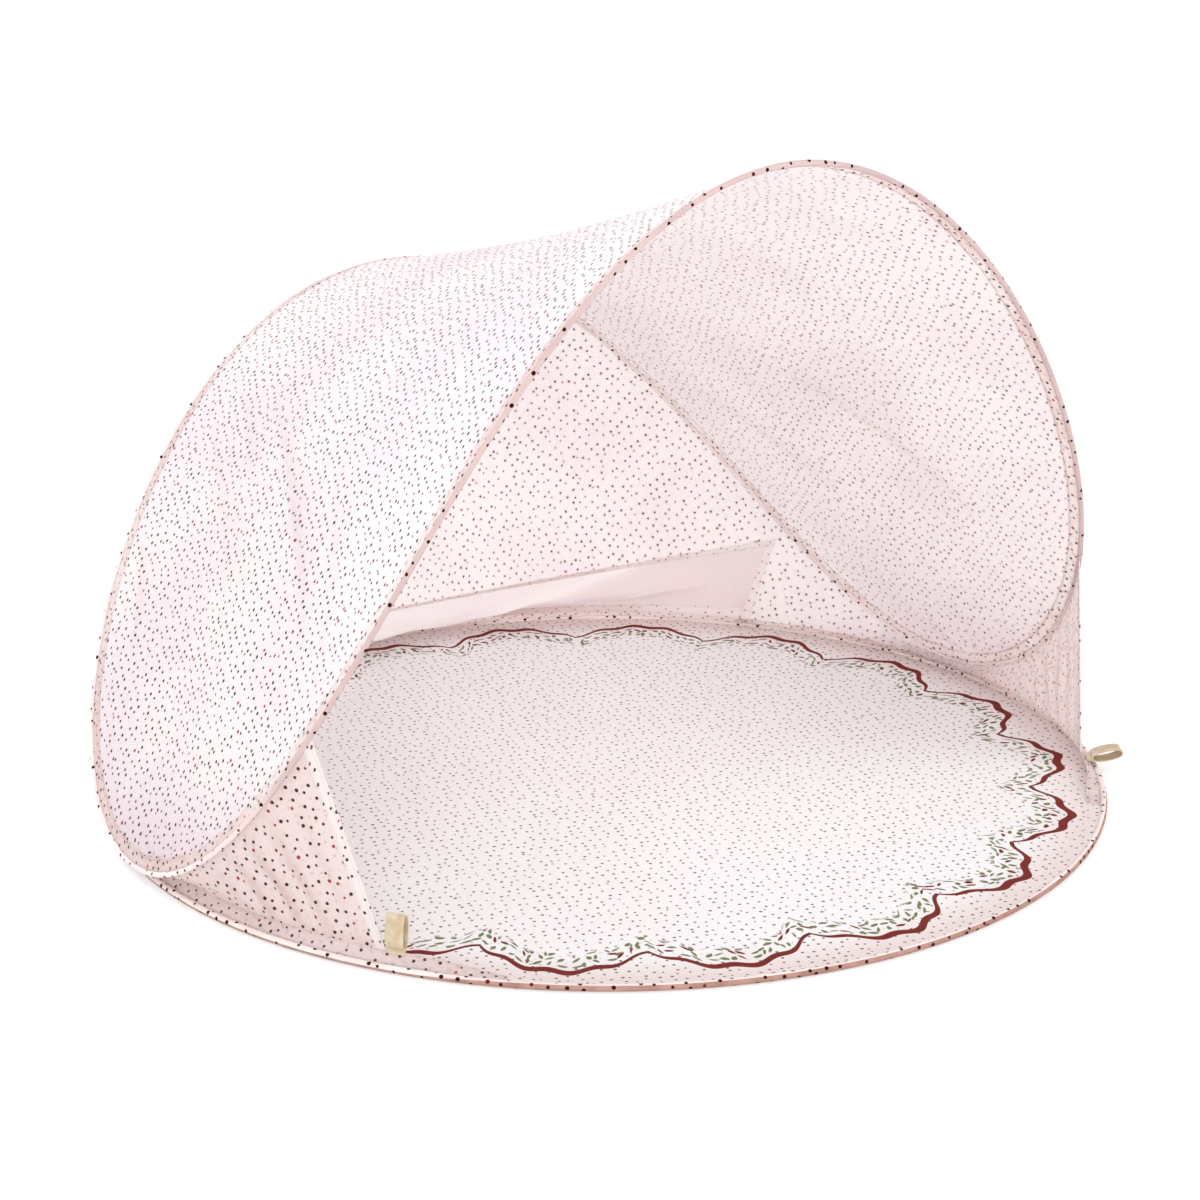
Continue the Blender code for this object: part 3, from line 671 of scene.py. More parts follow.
# Materials.
class Recipe:
    """The nodes of one material."""

    def __init__(self, name, roughness=0.85, specular=0.1):
        self.material = bpy.data.materials.new(name)
        self.material.use_nodes = True
        self.tree = self.material.node_tree
        self.shader = self.tree.nodes["Principled BSDF"]
        self.output = self.tree.nodes["Material Output"]
        self.shader.inputs["Roughness"].default_value = roughness
        self.shader.inputs["Specular IOR Level"].default_value = specular

    def node(self, kind, settings=None, **inputs):
        node = self.tree.nodes.new("ShaderNode" + kind)
        for key, value in (settings or {}).items():
            setattr(node, key, value)
        for key, value in inputs.items():
            self.feed(node.inputs[key.replace("_", " ")], value)
        return node

    def feed(self, socket, value):
        if isinstance(value, bpy.types.NodeSocket):
            self.tree.links.new(value, socket)
        else:
            socket.default_value = value

    def feed_all(self, node, values):
        """Feeds the values to the node's sockets with these numbers, and gives the node."""
        for number, value in values.items():
            self.feed(node.inputs[number], value)
        return node

    def math(self, operation, *values):
        node = self.node("Math", {"operation": operation})
        return self.feed_all(node, dict(enumerate(values))).outputs[0]

    def times(self, first, second):
        return self.math("MULTIPLY", first, second)

    def less(self, first, second):
        return self.math("SUBTRACT", first, second)

    def waves(self, value, length):
        return self.math("SINE", self.times(value, 2 * pi / length))

    def mix(self, share, first, second, kind="MIX"):
        node = self.node("Mix", {"data_type": "RGBA", "blend_type": kind})
        return self.feed_all(node, {0: share, 6: first, 7: second}).outputs[2]

    def inked(self, colour, where, ink, strength):
        """The colour with this strength of ink over it."""
        return self.mix(self.times(where, strength), colour, ink)

    def shaded(self, colour, tone):
        """The colour with painted shade: multiplied towards the given colour where the mesh's shade attribute
        is high.
        """
        depth = self.node("Attribute", {"attribute_name": "shade"}).outputs["Fac"]
        return self.mix(depth, colour, tone, "MULTIPLY")

    def fade(self, value, full, none):
        """1 where the value is at full or beyond, 0 at none, and a smooth step between."""
        ranged = {"interpolation_type": "SMOOTHSTEP"}
        return self.node("MapRange", ranged, Value=value, From_Min=none, From_Max=full).outputs[0]

    def place(self):
        """The flat cloth's own coordinates, in metres."""
        return self.node("UVMap", {"uv_map": "cloth"}).outputs[0]

    def parts(self, vector):
        node = self.node("SeparateXYZ", Vector=vector)
        return node.outputs[0], node.outputs[1]

    def tint(self, first, second, scale):
        """A soft cloudy change between two colours."""
        position = self.node("NewGeometry").outputs["Position"]
        cloud = self.node("TexNoise", Vector=position, Scale=scale, Detail=2.0)
        return self.mix(self.fade(cloud.outputs[0], full=0.65, none=0.35), first, second)

    def cells(self, vector, spacing, randomness):
        """Cells scattered over the cloth, and three chance values for each."""
        cells = self.node("TexVoronoi", {"voronoi_dimensions": "2D"}, Vector=vector, Scale=1 / spacing,
                          Randomness=randomness)
        return cells.outputs, self.node("SeparateColor", Color=cells.outputs["Color"]).outputs

    def dots(self, place, spacing, radius, inks, angle=PRINT_ANGLE):
        """Where the printed dots are, and the colour of each."""
        turned = self.node("VectorRotate", Vector=place, Angle=angle).outputs[0]
        cells, chance = self.cells(turned, spacing, PRINT_RAGGEDNESS)
        smallest, spread = (radius / spacing * share for share in (SMALLEST_DOT, DOT_SPREAD))
        beyond = self.less(cells["Distance"], self.math("MULTIPLY_ADD", chance[0], spread, smallest))
        soft = INK_EDGE / spacing
        ink = self.node("ValToRGB", Fac=chance[1])
        ink.color_ramp.interpolation = "CONSTANT"
        ink.color_ramp.elements[0].color = inks[0]
        ink.color_ramp.elements[1].position = LAST_INK_FROM
        ink.color_ramp.elements[1].color = inks[2]
        ink.color_ramp.elements.new(SECOND_INK_FROM).color = inks[1]
        return self.fade(beyond, -soft, soft), ink.outputs[0]

    def weave(self, place, pitch):
        """Height of a plain weave, from -1 to 1."""
        warp, weft = (self.waves(way, pitch) for way in self.parts(place))
        return self.times(warp, weft)

    def relief(self, height, depth):
        """A bump of this many metres for a height of 1, over any bump made before it."""
        node = self.node("Bump", Strength=1.0, Distance=depth, Height=height)
        if self.shader.inputs["Normal"].is_linked:
            self.feed(node.inputs["Normal"], self.shader.inputs["Normal"].links[0].from_socket)
        self.feed(self.shader.inputs["Normal"], node.outputs[0])

    def woven(self, place, pitch=WEAVE_PITCH, depth=WEAVE_DEPTH):
        self.relief(self.weave(place, pitch), depth)

    def clouds(self, place, scale, detail, depth, roughness=0.5):
        """A cloudy relief, for creases, gathers or grain."""
        cloud = self.node("TexNoise", Vector=place, Scale=scale, Detail=detail, Roughness=roughness)
        self.relief(cloud.outputs[0], depth)
        return cloud.outputs[0]

    def stitched(self, colour, place, rows):
        """The colour with rows of straight stitching over it, at these distances across the strip."""
        along, across = self.parts(place)
        shown = self.fade(self.waves(along, STITCH_PITCH), full=0.1, none=-0.5)
        nearest = 1.0
        for row in rows:
            nearest = self.math("MINIMUM", nearest, self.math("ABSOLUTE", self.less(across, row)))
        thread = self.times(shown, self.fade(nearest, STITCH_WIDTH * 0.35, STITCH_WIDTH * 0.7))
        self.relief(thread, THREAD_RELIEF)
        return self.inked(colour, thread, THREAD, strength=0.8)

    def paint(self, colour, let_through=0.0):
        """Sets the colour, and lets this share of the light through the cloth."""
        self.feed(self.shader.inputs["Base Color"], colour)
        if let_through:
            glow = self.node("BsdfTranslucent", Color=colour).outputs[0]
            self.show("MixShader", {0: let_through, 1: self.shader.outputs[0], 2: glow})
        return self.material

    def show(self, kind, values):
        """Ends the material in a shader of this kind, fed with the values."""
        self.feed(self.output.inputs[0], self.feed_all(self.node(kind), values).outputs[0])


def printed_cloth(name, colours, dots, inks, tone, let_through, rows=()):
    """Woven cloth with a dot print, painted shade in its folds and at its seams, soft creases and rows of
    stitching.
    """
    recipe = Recipe(name)
    place = recipe.place()
    shown, ink = recipe.dots(place, *dots, inks)
    colour = recipe.inked(recipe.tint(*colours, scale=5.0), shown, ink, strength=0.95)
    # Painted shade: the colour deepens where the mesh's shade attribute marks folds and seams.
    colour = recipe.shaded(colour, tone)
    recipe.woven(place)
    recipe.clouds(place, scale=22.0, detail=3.0, depth=0.0022, roughness=0.55)
    return recipe.paint(recipe.stitched(colour, place, rows) if rows else colour, let_through)


def channel_cloth(name, bead_colour, band_colours, band_dots, bead_dots, places, wrapped):
    """A channel's cloth: dotted band with two rows of stitching, and the bead with its own sparse dots and
    painted shade.

    Where it is wrapped, the coated sheet below comes up round the bead's lower side.
    """
    recipe = Recipe(name)
    place = recipe.place()
    across = recipe.parts(place)[1]
    start, whole = float(places[LIP_STEPS]), float(places[-1])
    end = whole - start - BAND_THICKNESS
    before = recipe.fade(across, start - SEAM_EDGE, start + SEAM_EDGE)
    after = recipe.fade(across, end + SEAM_EDGE, end - SEAM_EDGE)
    on_bead = recipe.less(1.0, recipe.math("ADD", before, after))
    shown, ink = recipe.dots(place, *band_dots, OUTER_INKS)
    band = recipe.inked(recipe.tint(*band_colours, scale=5.0), shown, ink, strength=0.9)
    bead = recipe.tint(bead_colour, HEM, scale=9.0)
    if wrapped:
        low, high = (blend(start, end, share) for share in WRAPPED_SHARES)
        below = recipe.times(recipe.fade(across, low + SEAM_EDGE, low),
                             recipe.fade(across, high, high + SEAM_EDGE))
        bead = recipe.mix(below, bead, recipe.tint(EDGE_WRAP, EDGE_WRAP_DARK, scale=30.0))
    shown, ink = recipe.dots(place, *bead_dots, DARK_INKS)
    # Painted shade on the bead, wherever the mesh's shade attribute is set: on the canopy's bead towards the
    # front apex.
    bead = recipe.shaded(recipe.mix(shown, bead, ink), SHADED_PIPING)
    recipe.woven(place)
    recipe.clouds(place, scale=150.0, detail=2.0, depth=0.0012)
    edges = (HEM_STITCH_INSET, start - BEAD_STITCH_INSET)
    rows = (*edges, end + BEAD_STITCH_INSET, whole - BAND_THICKNESS - HEM_STITCH_INSET)
    colour = recipe.stitched(recipe.mix(on_bead, band, bead), place, rows)
    return recipe.paint(colour, recipe.math("MULTIPLY_ADD", on_bead, -CLOTH_CLEARNESS, CLOTH_CLEARNESS))


def webbing_cloth():
    recipe = Recipe("cotton_webbing", roughness=0.9)
    recipe.shader.inputs["Sheen Weight"].default_value = 0.2
    along, across = recipe.parts(recipe.place())
    slant = recipe.math("ADD", along, recipe.math("PINGPONG", across, CHEVRON))
    twill = recipe.waves(slant, TWILL_PITCH)
    selvedge = recipe.fade(recipe.math("ABSOLUTE", across), full=0.0122, none=0.0112)
    colour = recipe.tint(WEBBING, WEBBING_DARK, scale=60.0)
    colour = recipe.inked(colour, recipe.fade(twill, full=-0.8, none=0.6), WEBBING_DARK, strength=0.35)
    recipe.relief(twill, depth=0.00012)
    colour = recipe.inked(colour, selvedge, WEBBING_DARK, strength=0.4)
    return recipe.paint(colour, let_through=0.12)


def net_cloth():
    recipe = Recipe("white_net", roughness=0.7)
    knit = recipe.weave(recipe.place(), KNIT_PITCH)
    recipe.feed(recipe.shader.inputs["Alpha"], recipe.math("MULTIPLY_ADD", knit, NET_HOLES, NET_COVER))
    recipe.relief(knit, depth=0.0001)
    # Painted shade from the mesh's shade attribute deepens the net's colour.
    colour = recipe.shaded(recipe.tint(NET, CLOTH_INSIDE, scale=9.0), PAINTED_SHADE_INSIDE)
    return recipe.paint(colour, let_through=0.35)


def coated_cloth():
    recipe = Recipe("coated_cloth", roughness=0.55)
    place = recipe.place()
    recipe.woven(place, COATED_PITCH, 2 * WEAVE_DEPTH)
    recipe.clouds(place, scale=9.0, detail=4.0, depth=0.003)
    return recipe.paint(recipe.tint(COATING, COATING_DARK, scale=4.0))


def drawn_steel():
    recipe = Recipe("drawn_steel")
    recipe.shader.inputs["Metallic"].default_value = 1.0
    position = recipe.node("NewGeometry").outputs["Position"]
    grain = recipe.clouds(position, scale=700.0, detail=2.0, depth=0.00003)
    roughness = recipe.math("MULTIPLY_ADD", grain, STEEL_GRAIN, STEEL_ROUGHNESS)
    recipe.feed(recipe.shader.inputs["Roughness"], roughness)
    return recipe.paint(recipe.tint(STEEL, STEEL_DARK, scale=40.0))


def floor_cloth():
    """Dotted floor cloth with a scalloped border of leaves and petals."""
    recipe = Recipe("floor_cloth")
    times, less, fade = recipe.times, recipe.less, recipe.fade
    place = recipe.place()
    x, y = recipe.parts(place)
    radius = recipe.math("SQRT", recipe.math("ADD", times(x, x), times(y, y)))
    turn = recipe.math("ARCTAN2", y, x)
    scallop = recipe.math("ABSOLUTE", recipe.math("SINE", times(turn, BORDER_SCALLOPS / 2)))
    ripple = recipe.math("SINE", times(turn, BORDER_SCALLOPS * 4))
    line = recipe.math("MULTIPLY_ADD", scallop, BORDER_DEPTH, BORDER_RADIUS - BORDER_DEPTH / 2)
    inward = less(recipe.math("MULTIPLY_ADD", ripple, BORDER_RIPPLE, line), radius)
    half = recipe.math("MULTIPLY_ADD", scallop, BORDER_LINE_SWELL, BORDER_LINE_LEAST)
    ribbon = fade(less(recipe.math("ABSOLUTE", inward), half), -INK_EDGE, INK_EDGE)

    strip = recipe.node("CombineXYZ", X=times(turn, BORDER_RADIUS), Y=inward).outputs[0]
    cells, chance = recipe.cells(strip, LEAF_SPACING, LEAF_RAGGEDNESS)
    offset = recipe.node("VectorMath", {"operation": "SUBTRACT"})
    away_x, away_y = recipe.parts(recipe.feed_all(offset, {0: strip, 1: cells["Position"]}).outputs[0])
    angle = times(chance[0], 2 * pi)
    cosine, sine = recipe.math("COSINE", angle), recipe.math("SINE", angle)
    leaf_x = recipe.math("ADD", times(away_x, cosine), times(away_y, sine))
    leaf_y = less(times(away_y, cosine), times(away_x, sine))
    taper = recipe.math("POWER", recipe.math("DIVIDE", leaf_x, LEAF_LENGTH), 2.0)
    width = recipe.math("MULTIPLY_ADD", chance[2], LEAF_SPREAD, LEAF_WIDTH / 2)
    reach = times(width, less(1.0, taper))
    leaf = fade(less(recipe.math("ABSOLUTE", leaf_y), reach), -INK_EDGE, INK_EDGE / 3)
    in_band = fade(inward, 1.1 * BORDER_LINE, 0.9 * BORDER_LINE)
    in_band = times(in_band, fade(inward, LEAF_BAND - LEAF_BAND_EDGE, LEAF_BAND))
    leaf_ink = recipe.mix(fade(chance[1], full=0.68, none=0.66), INK_OLIVE, INK_MAROON)

    shown, ink = recipe.dots(place, *FLOOR_DOTS, FLOOR_INKS, FLOOR_PRINT_ANGLE)
    bare = less(1.0, recipe.math("MAXIMUM", ribbon, times(in_band, 0.75)))
    margin = fade(radius, RING_RADIUS - RIM_BAND, BORDER_RADIUS - BORDER_DEPTH / 2)
    colour = recipe.tint(FLOOR_CLOTH, FLOOR_CLOTH_WARM, scale=3.0)
    colour = recipe.mix(margin, colour, FLOOR_MARGIN)
    colour = recipe.inked(colour, times(shown, bare), ink, strength=0.85)
    colour = recipe.mix(times(leaf, in_band), colour, leaf_ink)
    recipe.woven(place)
    recipe.clouds(place, scale=7.0, detail=3.0, depth=0.003)
    return recipe.paint(recipe.mix(ribbon, colour, INK_MAROON), let_through=0.1)


# Pieces.
def roof_relief(turn, share, point):
    """How far the roof lies outside the straight line from edge to edge."""
    away = min(turn, 180 - turn)
    lobe = bell(away - LOBE_ANGLE, LOBE_SPREAD) * wave(ROOF_FOLD_WAVES * share + ROOF_FOLD_SLANT * away)
    crumple = bell(away, FOOT_FOLD_ANGLE) * wave(FOOT_FOLD_WAVES * share + FOOT_FOLD_SLANT * away)
    height = -ROOF_SAG * sin(radians(turn)) + ROOF_FOLD * lobe + FOOT_FOLD * crumple
    height += WRINKLE * wrinkles(point, WRINKLE_LENGTH)
    creases = sum(depth * bells(gap, CREASE_FORM) * arc(along)
                  for depth, along, gap in roof_creases(turn, share))
    return hump(share) * height + CREASE * creases


def roof_creases(turn, share):
    """Creases beside a place: each one's depth, the share of its length there, and the distance in widths."""
    length = np.linalg.norm(hoop_point(turn) - hoop_point(-turn))
    for first_turn, first_share, last_turn, last_share, depth in CREASES:
        along = (turn - first_turn) / (last_turn - first_turn)
        if 0 < along < 1:
            line = blend(first_share, last_share, along) + CREASE_BEND * arc(along)
            yield depth, along, (share - line) * length / CREASE_WIDTH


def roof_shade(turn, share):
    """Depth of the painted shade on the roof: along the creases, over the lobes beside the feet, and at the
    feet.
    """
    creases = sum(depth * bells(gap, CREASE_SHADOW) * arc(along) ** CREASE_SHADOW_FULLNESS
                  for depth, along, gap in roof_creases(turn, share))
    away = min(turn, 180 - turn)
    (angle, angle_spread), (middle, middle_spread) = LOBE_SHADOW
    lobe = bell(away - angle, angle_spread) * bell(share - middle, middle_spread)
    foot = smooth((FOOT_SHADOW_END - away) / FOOT_SHADOW_CHANGE)
    return CREASE_SHADE * creases + LOBE_SHADE * lobe + FOOT_SHADE * foot


def roof_place(turn, share):
    """A place on the roof cloth: share runs from the rear arch to the front one."""
    rear = hoop_point(turn) + roof_inward(turn) * (HOOP_BAND - ROOF_LAP)
    front = hoop_point(-turn) + roof_inward(-turn) * (HOOP_BAND - ROOF_LAP)
    point = blend(rear, front, share)
    return point + roof_normal(turn) * roof_relief(turn, share, point)


def roof_cloth():
    columns = steps(0.0, 1.0, ROOF_COLUMNS)
    points, shares, shade = [], [], []
    for turn in steps(ROOF_END, 180 - ROOF_END, ROOF_ROWS):
        row = [roof_place(turn, share) for share in columns]
        ends = arch_share(turn), arch_share(-turn)
        points.append(row)
        shares.append([held_up(point, blend(*ends, share), FOLDED_ROOF_LOWEST)
                       for share, point in zip(columns, row)])
        shade.append([roof_shade(turn, share) for share in columns])
    hang_cloth("roof_cloth", "roof_panel", np.array(points), shares, outside_cloth, inside_cloth,
               shade=shade)


def wall_grid(bottoms, tops, rows, relief):
    """Points between a lower and an upper line, moved outward by relief(i, share, point)."""
    shares = steps(0.0, 1.0, rows)
    points = np.array([[blend(low, high, share) for share in shares] for low, high in zip(bottoms, tops)])
    normals = np.cross(np.gradient(points, axis=0), np.gradient(points, axis=1))
    normals /= np.maximum(np.linalg.norm(normals, axis=2, keepdims=True), SMALLEST_AREA)
    side = np.sign((normals * (points - INSIDE)).sum(axis=2, keepdims=True).mean()) or 1.0
    heights = [[relief(i, share, points[i, j]) for j, share in enumerate(shares)] for i in range(len(points))]
    return points + normals * side * np.array(heights)[..., None]


def seam_top(angle, start):
    """Where cloth from the start meets the canopy's bead."""
    top = hoop_point(angle)
    return top - unit(top - start) * (PIPING_RADIUS - EDGE_OVERLAP)


def hang_cloth(name, node, points, shares, outer, inner, thickness=CLOTH_THICKNESS, shift=0.0, shade=None):
    """A stretched sheet from its grid: flattened and thickened, with the frame's part hidden. The shift moves
    its print.
    """
    flat = flatten(points)
    obj = face_outward(grid_object(name, points, flat + shift, shares, shade=shade))
    bend_with_arches(thickened(obj, thickness, outer, inner))
    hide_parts(node)


def corner_grid(hoop_angle, ring_angle, shares, rows, relief):
    """A corner's cloth from the rim to the hoop, at shares of the way from the hoop's foot to its far edge.

    With it comes each point's share of the front arch's turn.
    """
    feet = [rim_end(ring_angle * share) for share in shares]
    tops = [seam_top(hoop_angle * share, foot) for share, foot in zip(shares, feet)]
    turns = [[v * arch_share(hoop_angle * share) for v in steps(0.0, 1.0, rows)] for share in shares]
    return wall_grid(feet, tops, rows, relief), turns


def hem_strip(name, node, points, flat, turns, cloth, keep=None):
    """A folded and stitched strip of cloth."""
    obj = face_outward(grid_object(name, points, flat, turns, keep=keep))
    bend_with_arches(thickened(obj, HEM_THICKNESS, cloth, cloth))
    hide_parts(node)


def front_gusset(side, label):
    """Front corner of the canopy and its hemmed free edge."""
    width = np.linalg.norm(hoop_point(-GUSSET_HOOP_ANGLE) - hoop_point(0.0))
    hem_start = 1 - GUSSET_HEM / width
    shares = steps(0.0, 1.0, GUSSET_COLUMNS)

    def crease(share, v):
        """Close drag folds that fall from the hoop towards the rim."""
        reach = bell(share - GUSSET_CREASE_PLACE, GUSSET_CREASE_SPREAD) * arc(v**GUSSET_CREASE_FULLNESS)
        return reach * wave((share + GUSSET_CREASE_SLANT * v) / GUSSET_CREASE_LENGTH)

    def folds(i, v, point):
        share = shares[i]
        middle = share**2 * (1 - share) / GUSSET_MIDDLE * hump(v)
        drag = GUSSET_FOLD * wave(GUSSET_FOLD_WAVES * share + GUSSET_FOLD_SLANT * v)
        soft = GUSSET_WRINKLE * wrinkles(point, GUSSET_WRINKLE_LENGTH)
        return middle * (drag + soft) + GUSSET_CREASE * crease(share, v)

    # Painted shade: in the creases, along the seams at the hoop and at the rim, and towards the foot.
    def painted_shade_at(share, v):
        in_crease, at_hoop, at_rim, at_foot = GUSSET_SHADES
        seams = at_hoop * exp((v - 1) / SEAM_SHADE_WIDTH) + at_rim * exp(-v / SEAM_SHADE_WIDTH)
        return in_crease * max(crease(share, v), 0) + seams + at_foot * (1 - share)

    angles = -GUSSET_HOOP_ANGLE, -GUSSET_RING_ANGLE
    grid, turns = corner_grid(*angles, shares * hem_start, WALL_ROWS, folds)
    shade = [[painted_shade_at(share, v) for v in steps(0.0, 1.0, WALL_ROWS)] for share in shares]
    hang_cloth(f"gusset_cloth_{label}", f"front_gusset_{label}", mirrored(grid, side), turns,
               gusset_cloth, gusset_inside, shift=GUSSET_SHIFT + GUSSET_SHIFT_APART * side,
               shade=shade)

    columns = steps(hem_start - GUSSET_HEM_LAP / width, 1.0, HEM_COLUMNS)
    points, turns = corner_grid(*angles, columns, HEM_ROWS, lambda i, v, point: 0.0)
    across = [(share - columns[0]) * width for share in columns]
    flat = np.array([[(along, place) for along in distances(points[-1])] for place in across])
    hem_strip(f"gusset_edge_{label}", f"gusset_hem_{label}", mirrored(points, side), flat, turns, hem_cloth)


def rear_side(side, label):
    """Cloth beside the window, round to the hoop's foot."""
    def bow(i, v, point):
        return WRINKLE * hump(v) * wrinkles(point, SIDE_WRINKLE_LENGTH)

    shares = steps(0.0, 1.0, SIDE_COLUMNS)
    grid, turns = corner_grid(WINDOW_HOOP_ANGLE, WINDOW_RING_ANGLE, shares, SIDE_ROWS, bow)
    hang_cloth(f"side_cloth_{label}", f"rear_side_panel_{label}", mirrored(grid, side), turns,
               outside_cloth, inside_cloth, shift=SIDE_SHIFT + SIDE_SHIFT_APART * side)


def window_corner():
    return blend(rim_end(WINDOW_RING_ANGLE), hoop_point(WINDOW_HOOP_ANGLE), WINDOW_SIDE_SHARE)


def window_top(across):
    """Upper edge of the window. across is -1 at its left corner and 1 at its right one."""
    corner = window_corner()
    reach = sin(radians(WINDOW_SPAN * across)) / sin(radians(WINDOW_SPAN))
    return np.array([
        corner[0] * reach,
        blend(WINDOW_CENTRE_Y, corner[1], reach**2),
        blend(WINDOW_CENTRE_Z, corner[2], reach**2),
    ])


def window_line(across):
    """Lower end, direction and height of the window's straight line at this share of its half width."""
    bottom, top = rim_end(90 - WINDOW_SPAN * across), window_top(across)
    return bottom, unit(top - bottom), np.linalg.norm(top - bottom)


def window_share(across, v):
    """Share of the front arch's turn at a place in the window, v of the way up: 0 in its middle and largest
    at its ends.
    """
    return v * WINDOW_SIDE_SHARE * arch_share(WINDOW_HOOP_ANGLE) * abs(across) ** 3


def window_frame():
    """The window's hemmed frame, and the slack net inside it."""
    half_width = np.linalg.norm(window_top(1.0) - window_top(1 - WINDOW_STEP)) / WINDOW_STEP
    inner = 1 - WINDOW_HEM / half_width
    middle = steps(-inner, inner, FRAME_COLUMNS)
    columns = np.concatenate([[-1.0, -(1 + inner) / 2], middle, [(1 + inner) / 2, 1.0]])
    points, flat, turns = [], [], []
    for across in columns:
        bottom, direction, height = window_line(across)
        rows = (0.0, WINDOW_SILL / 2, WINDOW_SILL, height - WINDOW_HEM, height - WINDOW_HEM / 2, height)
        points.append([bottom + direction * row for row in rows])
        flat.append([(across * half_width, row) for row in rows])
        turns.append([window_share(across, row / height) for row in rows])
    points, flat, turns = np.array(points), np.array(flat), np.array(turns)
    sides = {0, 1, len(columns) - 3, len(columns) - 2}
    hem_strip("window_frame", "window_hem", points[:, :4], flat[:, :4], turns[:, :4], frame_cloth,
              lambda i, j: j < 2 or i in sides)
    flat[..., 1] -= flat[:, -1:, 1]
    hem_strip("window_top_hem", "window_hem", points[:, 3:], flat[:, 3:], turns[:, 3:], frame_cloth)

    columns = steps(-inner, inner, NET_COLUMNS)
    lows, highs, turns = [], [], []
    for across in columns:
        bottom, direction, height = window_line(across)
        edges = WINDOW_SILL - NET_LAP, height - WINDOW_HEM + NET_LAP
        lows.append(bottom + direction * edges[0])
        highs.append(bottom + direction * edges[1])
        turns.append([window_share(across, blend(*edges, v) / height) for v in steps(0.0, 1.0, NET_ROWS)])
    grid = wall_grid(lows, highs, NET_ROWS, lambda i, v, point: -net_depth(columns[i] / inner, v))
    shade = [[net_shade(across / inner, v) for v in steps(0.0, 1.0, NET_ROWS)] for across in columns]
    hang_cloth("window_mesh", "window_net", grid, turns, net, net, NET_THICKNESS, NET_SHIFT, shade=shade)


def net_crease(across, v, start, end, width):
    """1 along a crease of the net between two places, falling to 0 beside it and at its ends.

    With it comes the side of the crease that the place lies on: above 0 below the crease.
    """
    reach, climb = end[0] - start[0], end[1] - start[1]
    along = (across - start[0]) * reach + (v - start[1]) * climb * NET_SHAPE**2
    share = min(max(along / (reach**2 + (climb * NET_SHAPE) ** 2), 0.0), 1.0)
    gap_across = across - blend(start[0], end[0], share)
    gap_up = v - blend(start[1], end[1], share)
    ridge = bell(hypot(gap_across, gap_up * NET_SHAPE), width) * arc(share) ** NET_CREASE_FULLNESS
    return ridge, gap_across * climb - gap_up * reach


def net_shade(across, v):
    """Painted shade on the net: deeper below its long crease, paler above it, and less along the crease
    itself.
    """
    ridge, side = net_crease(across, v, *NET_CREASES[0], NET_RIDGE_WIDTH)
    below = NET_SHADE if side > 0 else NET_SHADE_ABOVE
    far = smooth((across - NET_SHADE_START) / NET_SHADE_CHANGE)
    return far * (below - NET_RIDGE_LIGHT * ridge) + NET_SHADE_LEAST


def net_depth(across, v):
    """How far the slack net hangs in from its frame, with slanting folds."""
    slack = (1 - across**4) ** 2 * arc(v) ** 2
    folds = 1 + NET_FOLD_SHARE * wave(NET_FOLD_WAVES * across + NET_FOLD_SLANT * v)
    fine = NET_FINE_FOLD * wave(NET_FINE_WAVES * across + NET_FINE_SLANT * v) * arc(v) * (1 - across**4)
    ridges = sum(net_crease(across, v, start, end, NET_CREASE_WIDTH)[0] for start, end in NET_CREASES)
    return NET_BELLY * slack * folds + fine + NET_CREASE * ridges * hump(v)


def back_cloth():
    """The back wall, from the window's top edge up to the rear arch."""
    columns = steps(-1.0, 1.0, BACK_COLUMNS)
    angles = [90 - (90 - WINDOW_HOOP_ANGLE) * across for across in columns]

    def bow(i, v, point):
        return hump(v) * (WALL_SAG * (1 - columns[i] ** 2) + WRINKLE * wrinkles(point, BACK_WRINKLE_LENGTH))

    lows = [window_top(across) for across in columns]
    highs = [seam_top(angle, low) for angle, low in zip(angles, lows)]
    turns = [[blend(window_share(across, 1.0), arch_share(angle), v) for v in steps(0.0, 1.0, WALL_ROWS)]
             for across, angle in zip(columns, angles)]
    hang_cloth("back_cloth", "back_wall", wall_grid(lows, highs, WALL_ROWS, bow), turns,
               outside_cloth, inside_cloth, shift=BACK_SHIFT)


def channel_section(bead, band, pucker=0.0):
    """Outline of a fabric channel: the bead round the wire and a thin band beside it."""
    half = BAND_THICKNESS / 2
    start = asin(half / bead)
    lip = steps(band, bead * cos(start), LIP_STEPS)
    drift = [pucker * arc((x - lip[-1]) / (band - lip[-1])) for x in lip]
    upper = [(x, half + rise) for x, rise in zip(lip, drift)]
    lower = [(x, rise - half) for x, rise in zip(lip, drift)]
    turns = steps(start, 2 * pi - start, BEAD_SIDES)[1:-1]
    tube = [(bead * cos(turn), bead * sin(turn)) for turn in turns]
    return upper + tube + lower[::-1]


PIPING_SECTION = channel_section(PIPING_RADIUS, HOOP_BAND)
PIPING_PLACES = distances(PIPING_SECTION, closed=True)
RIM_PLACES = distances(channel_section(BEAD_RADIUS, RIM_BAND), closed=True)


def pucker_at(distance, seed):
    """Uneven puckers of a gathered seam, between -1 and 1."""
    return noise.noise(Vector((distance / PUCKER_LENGTH, seed, 0.0)))


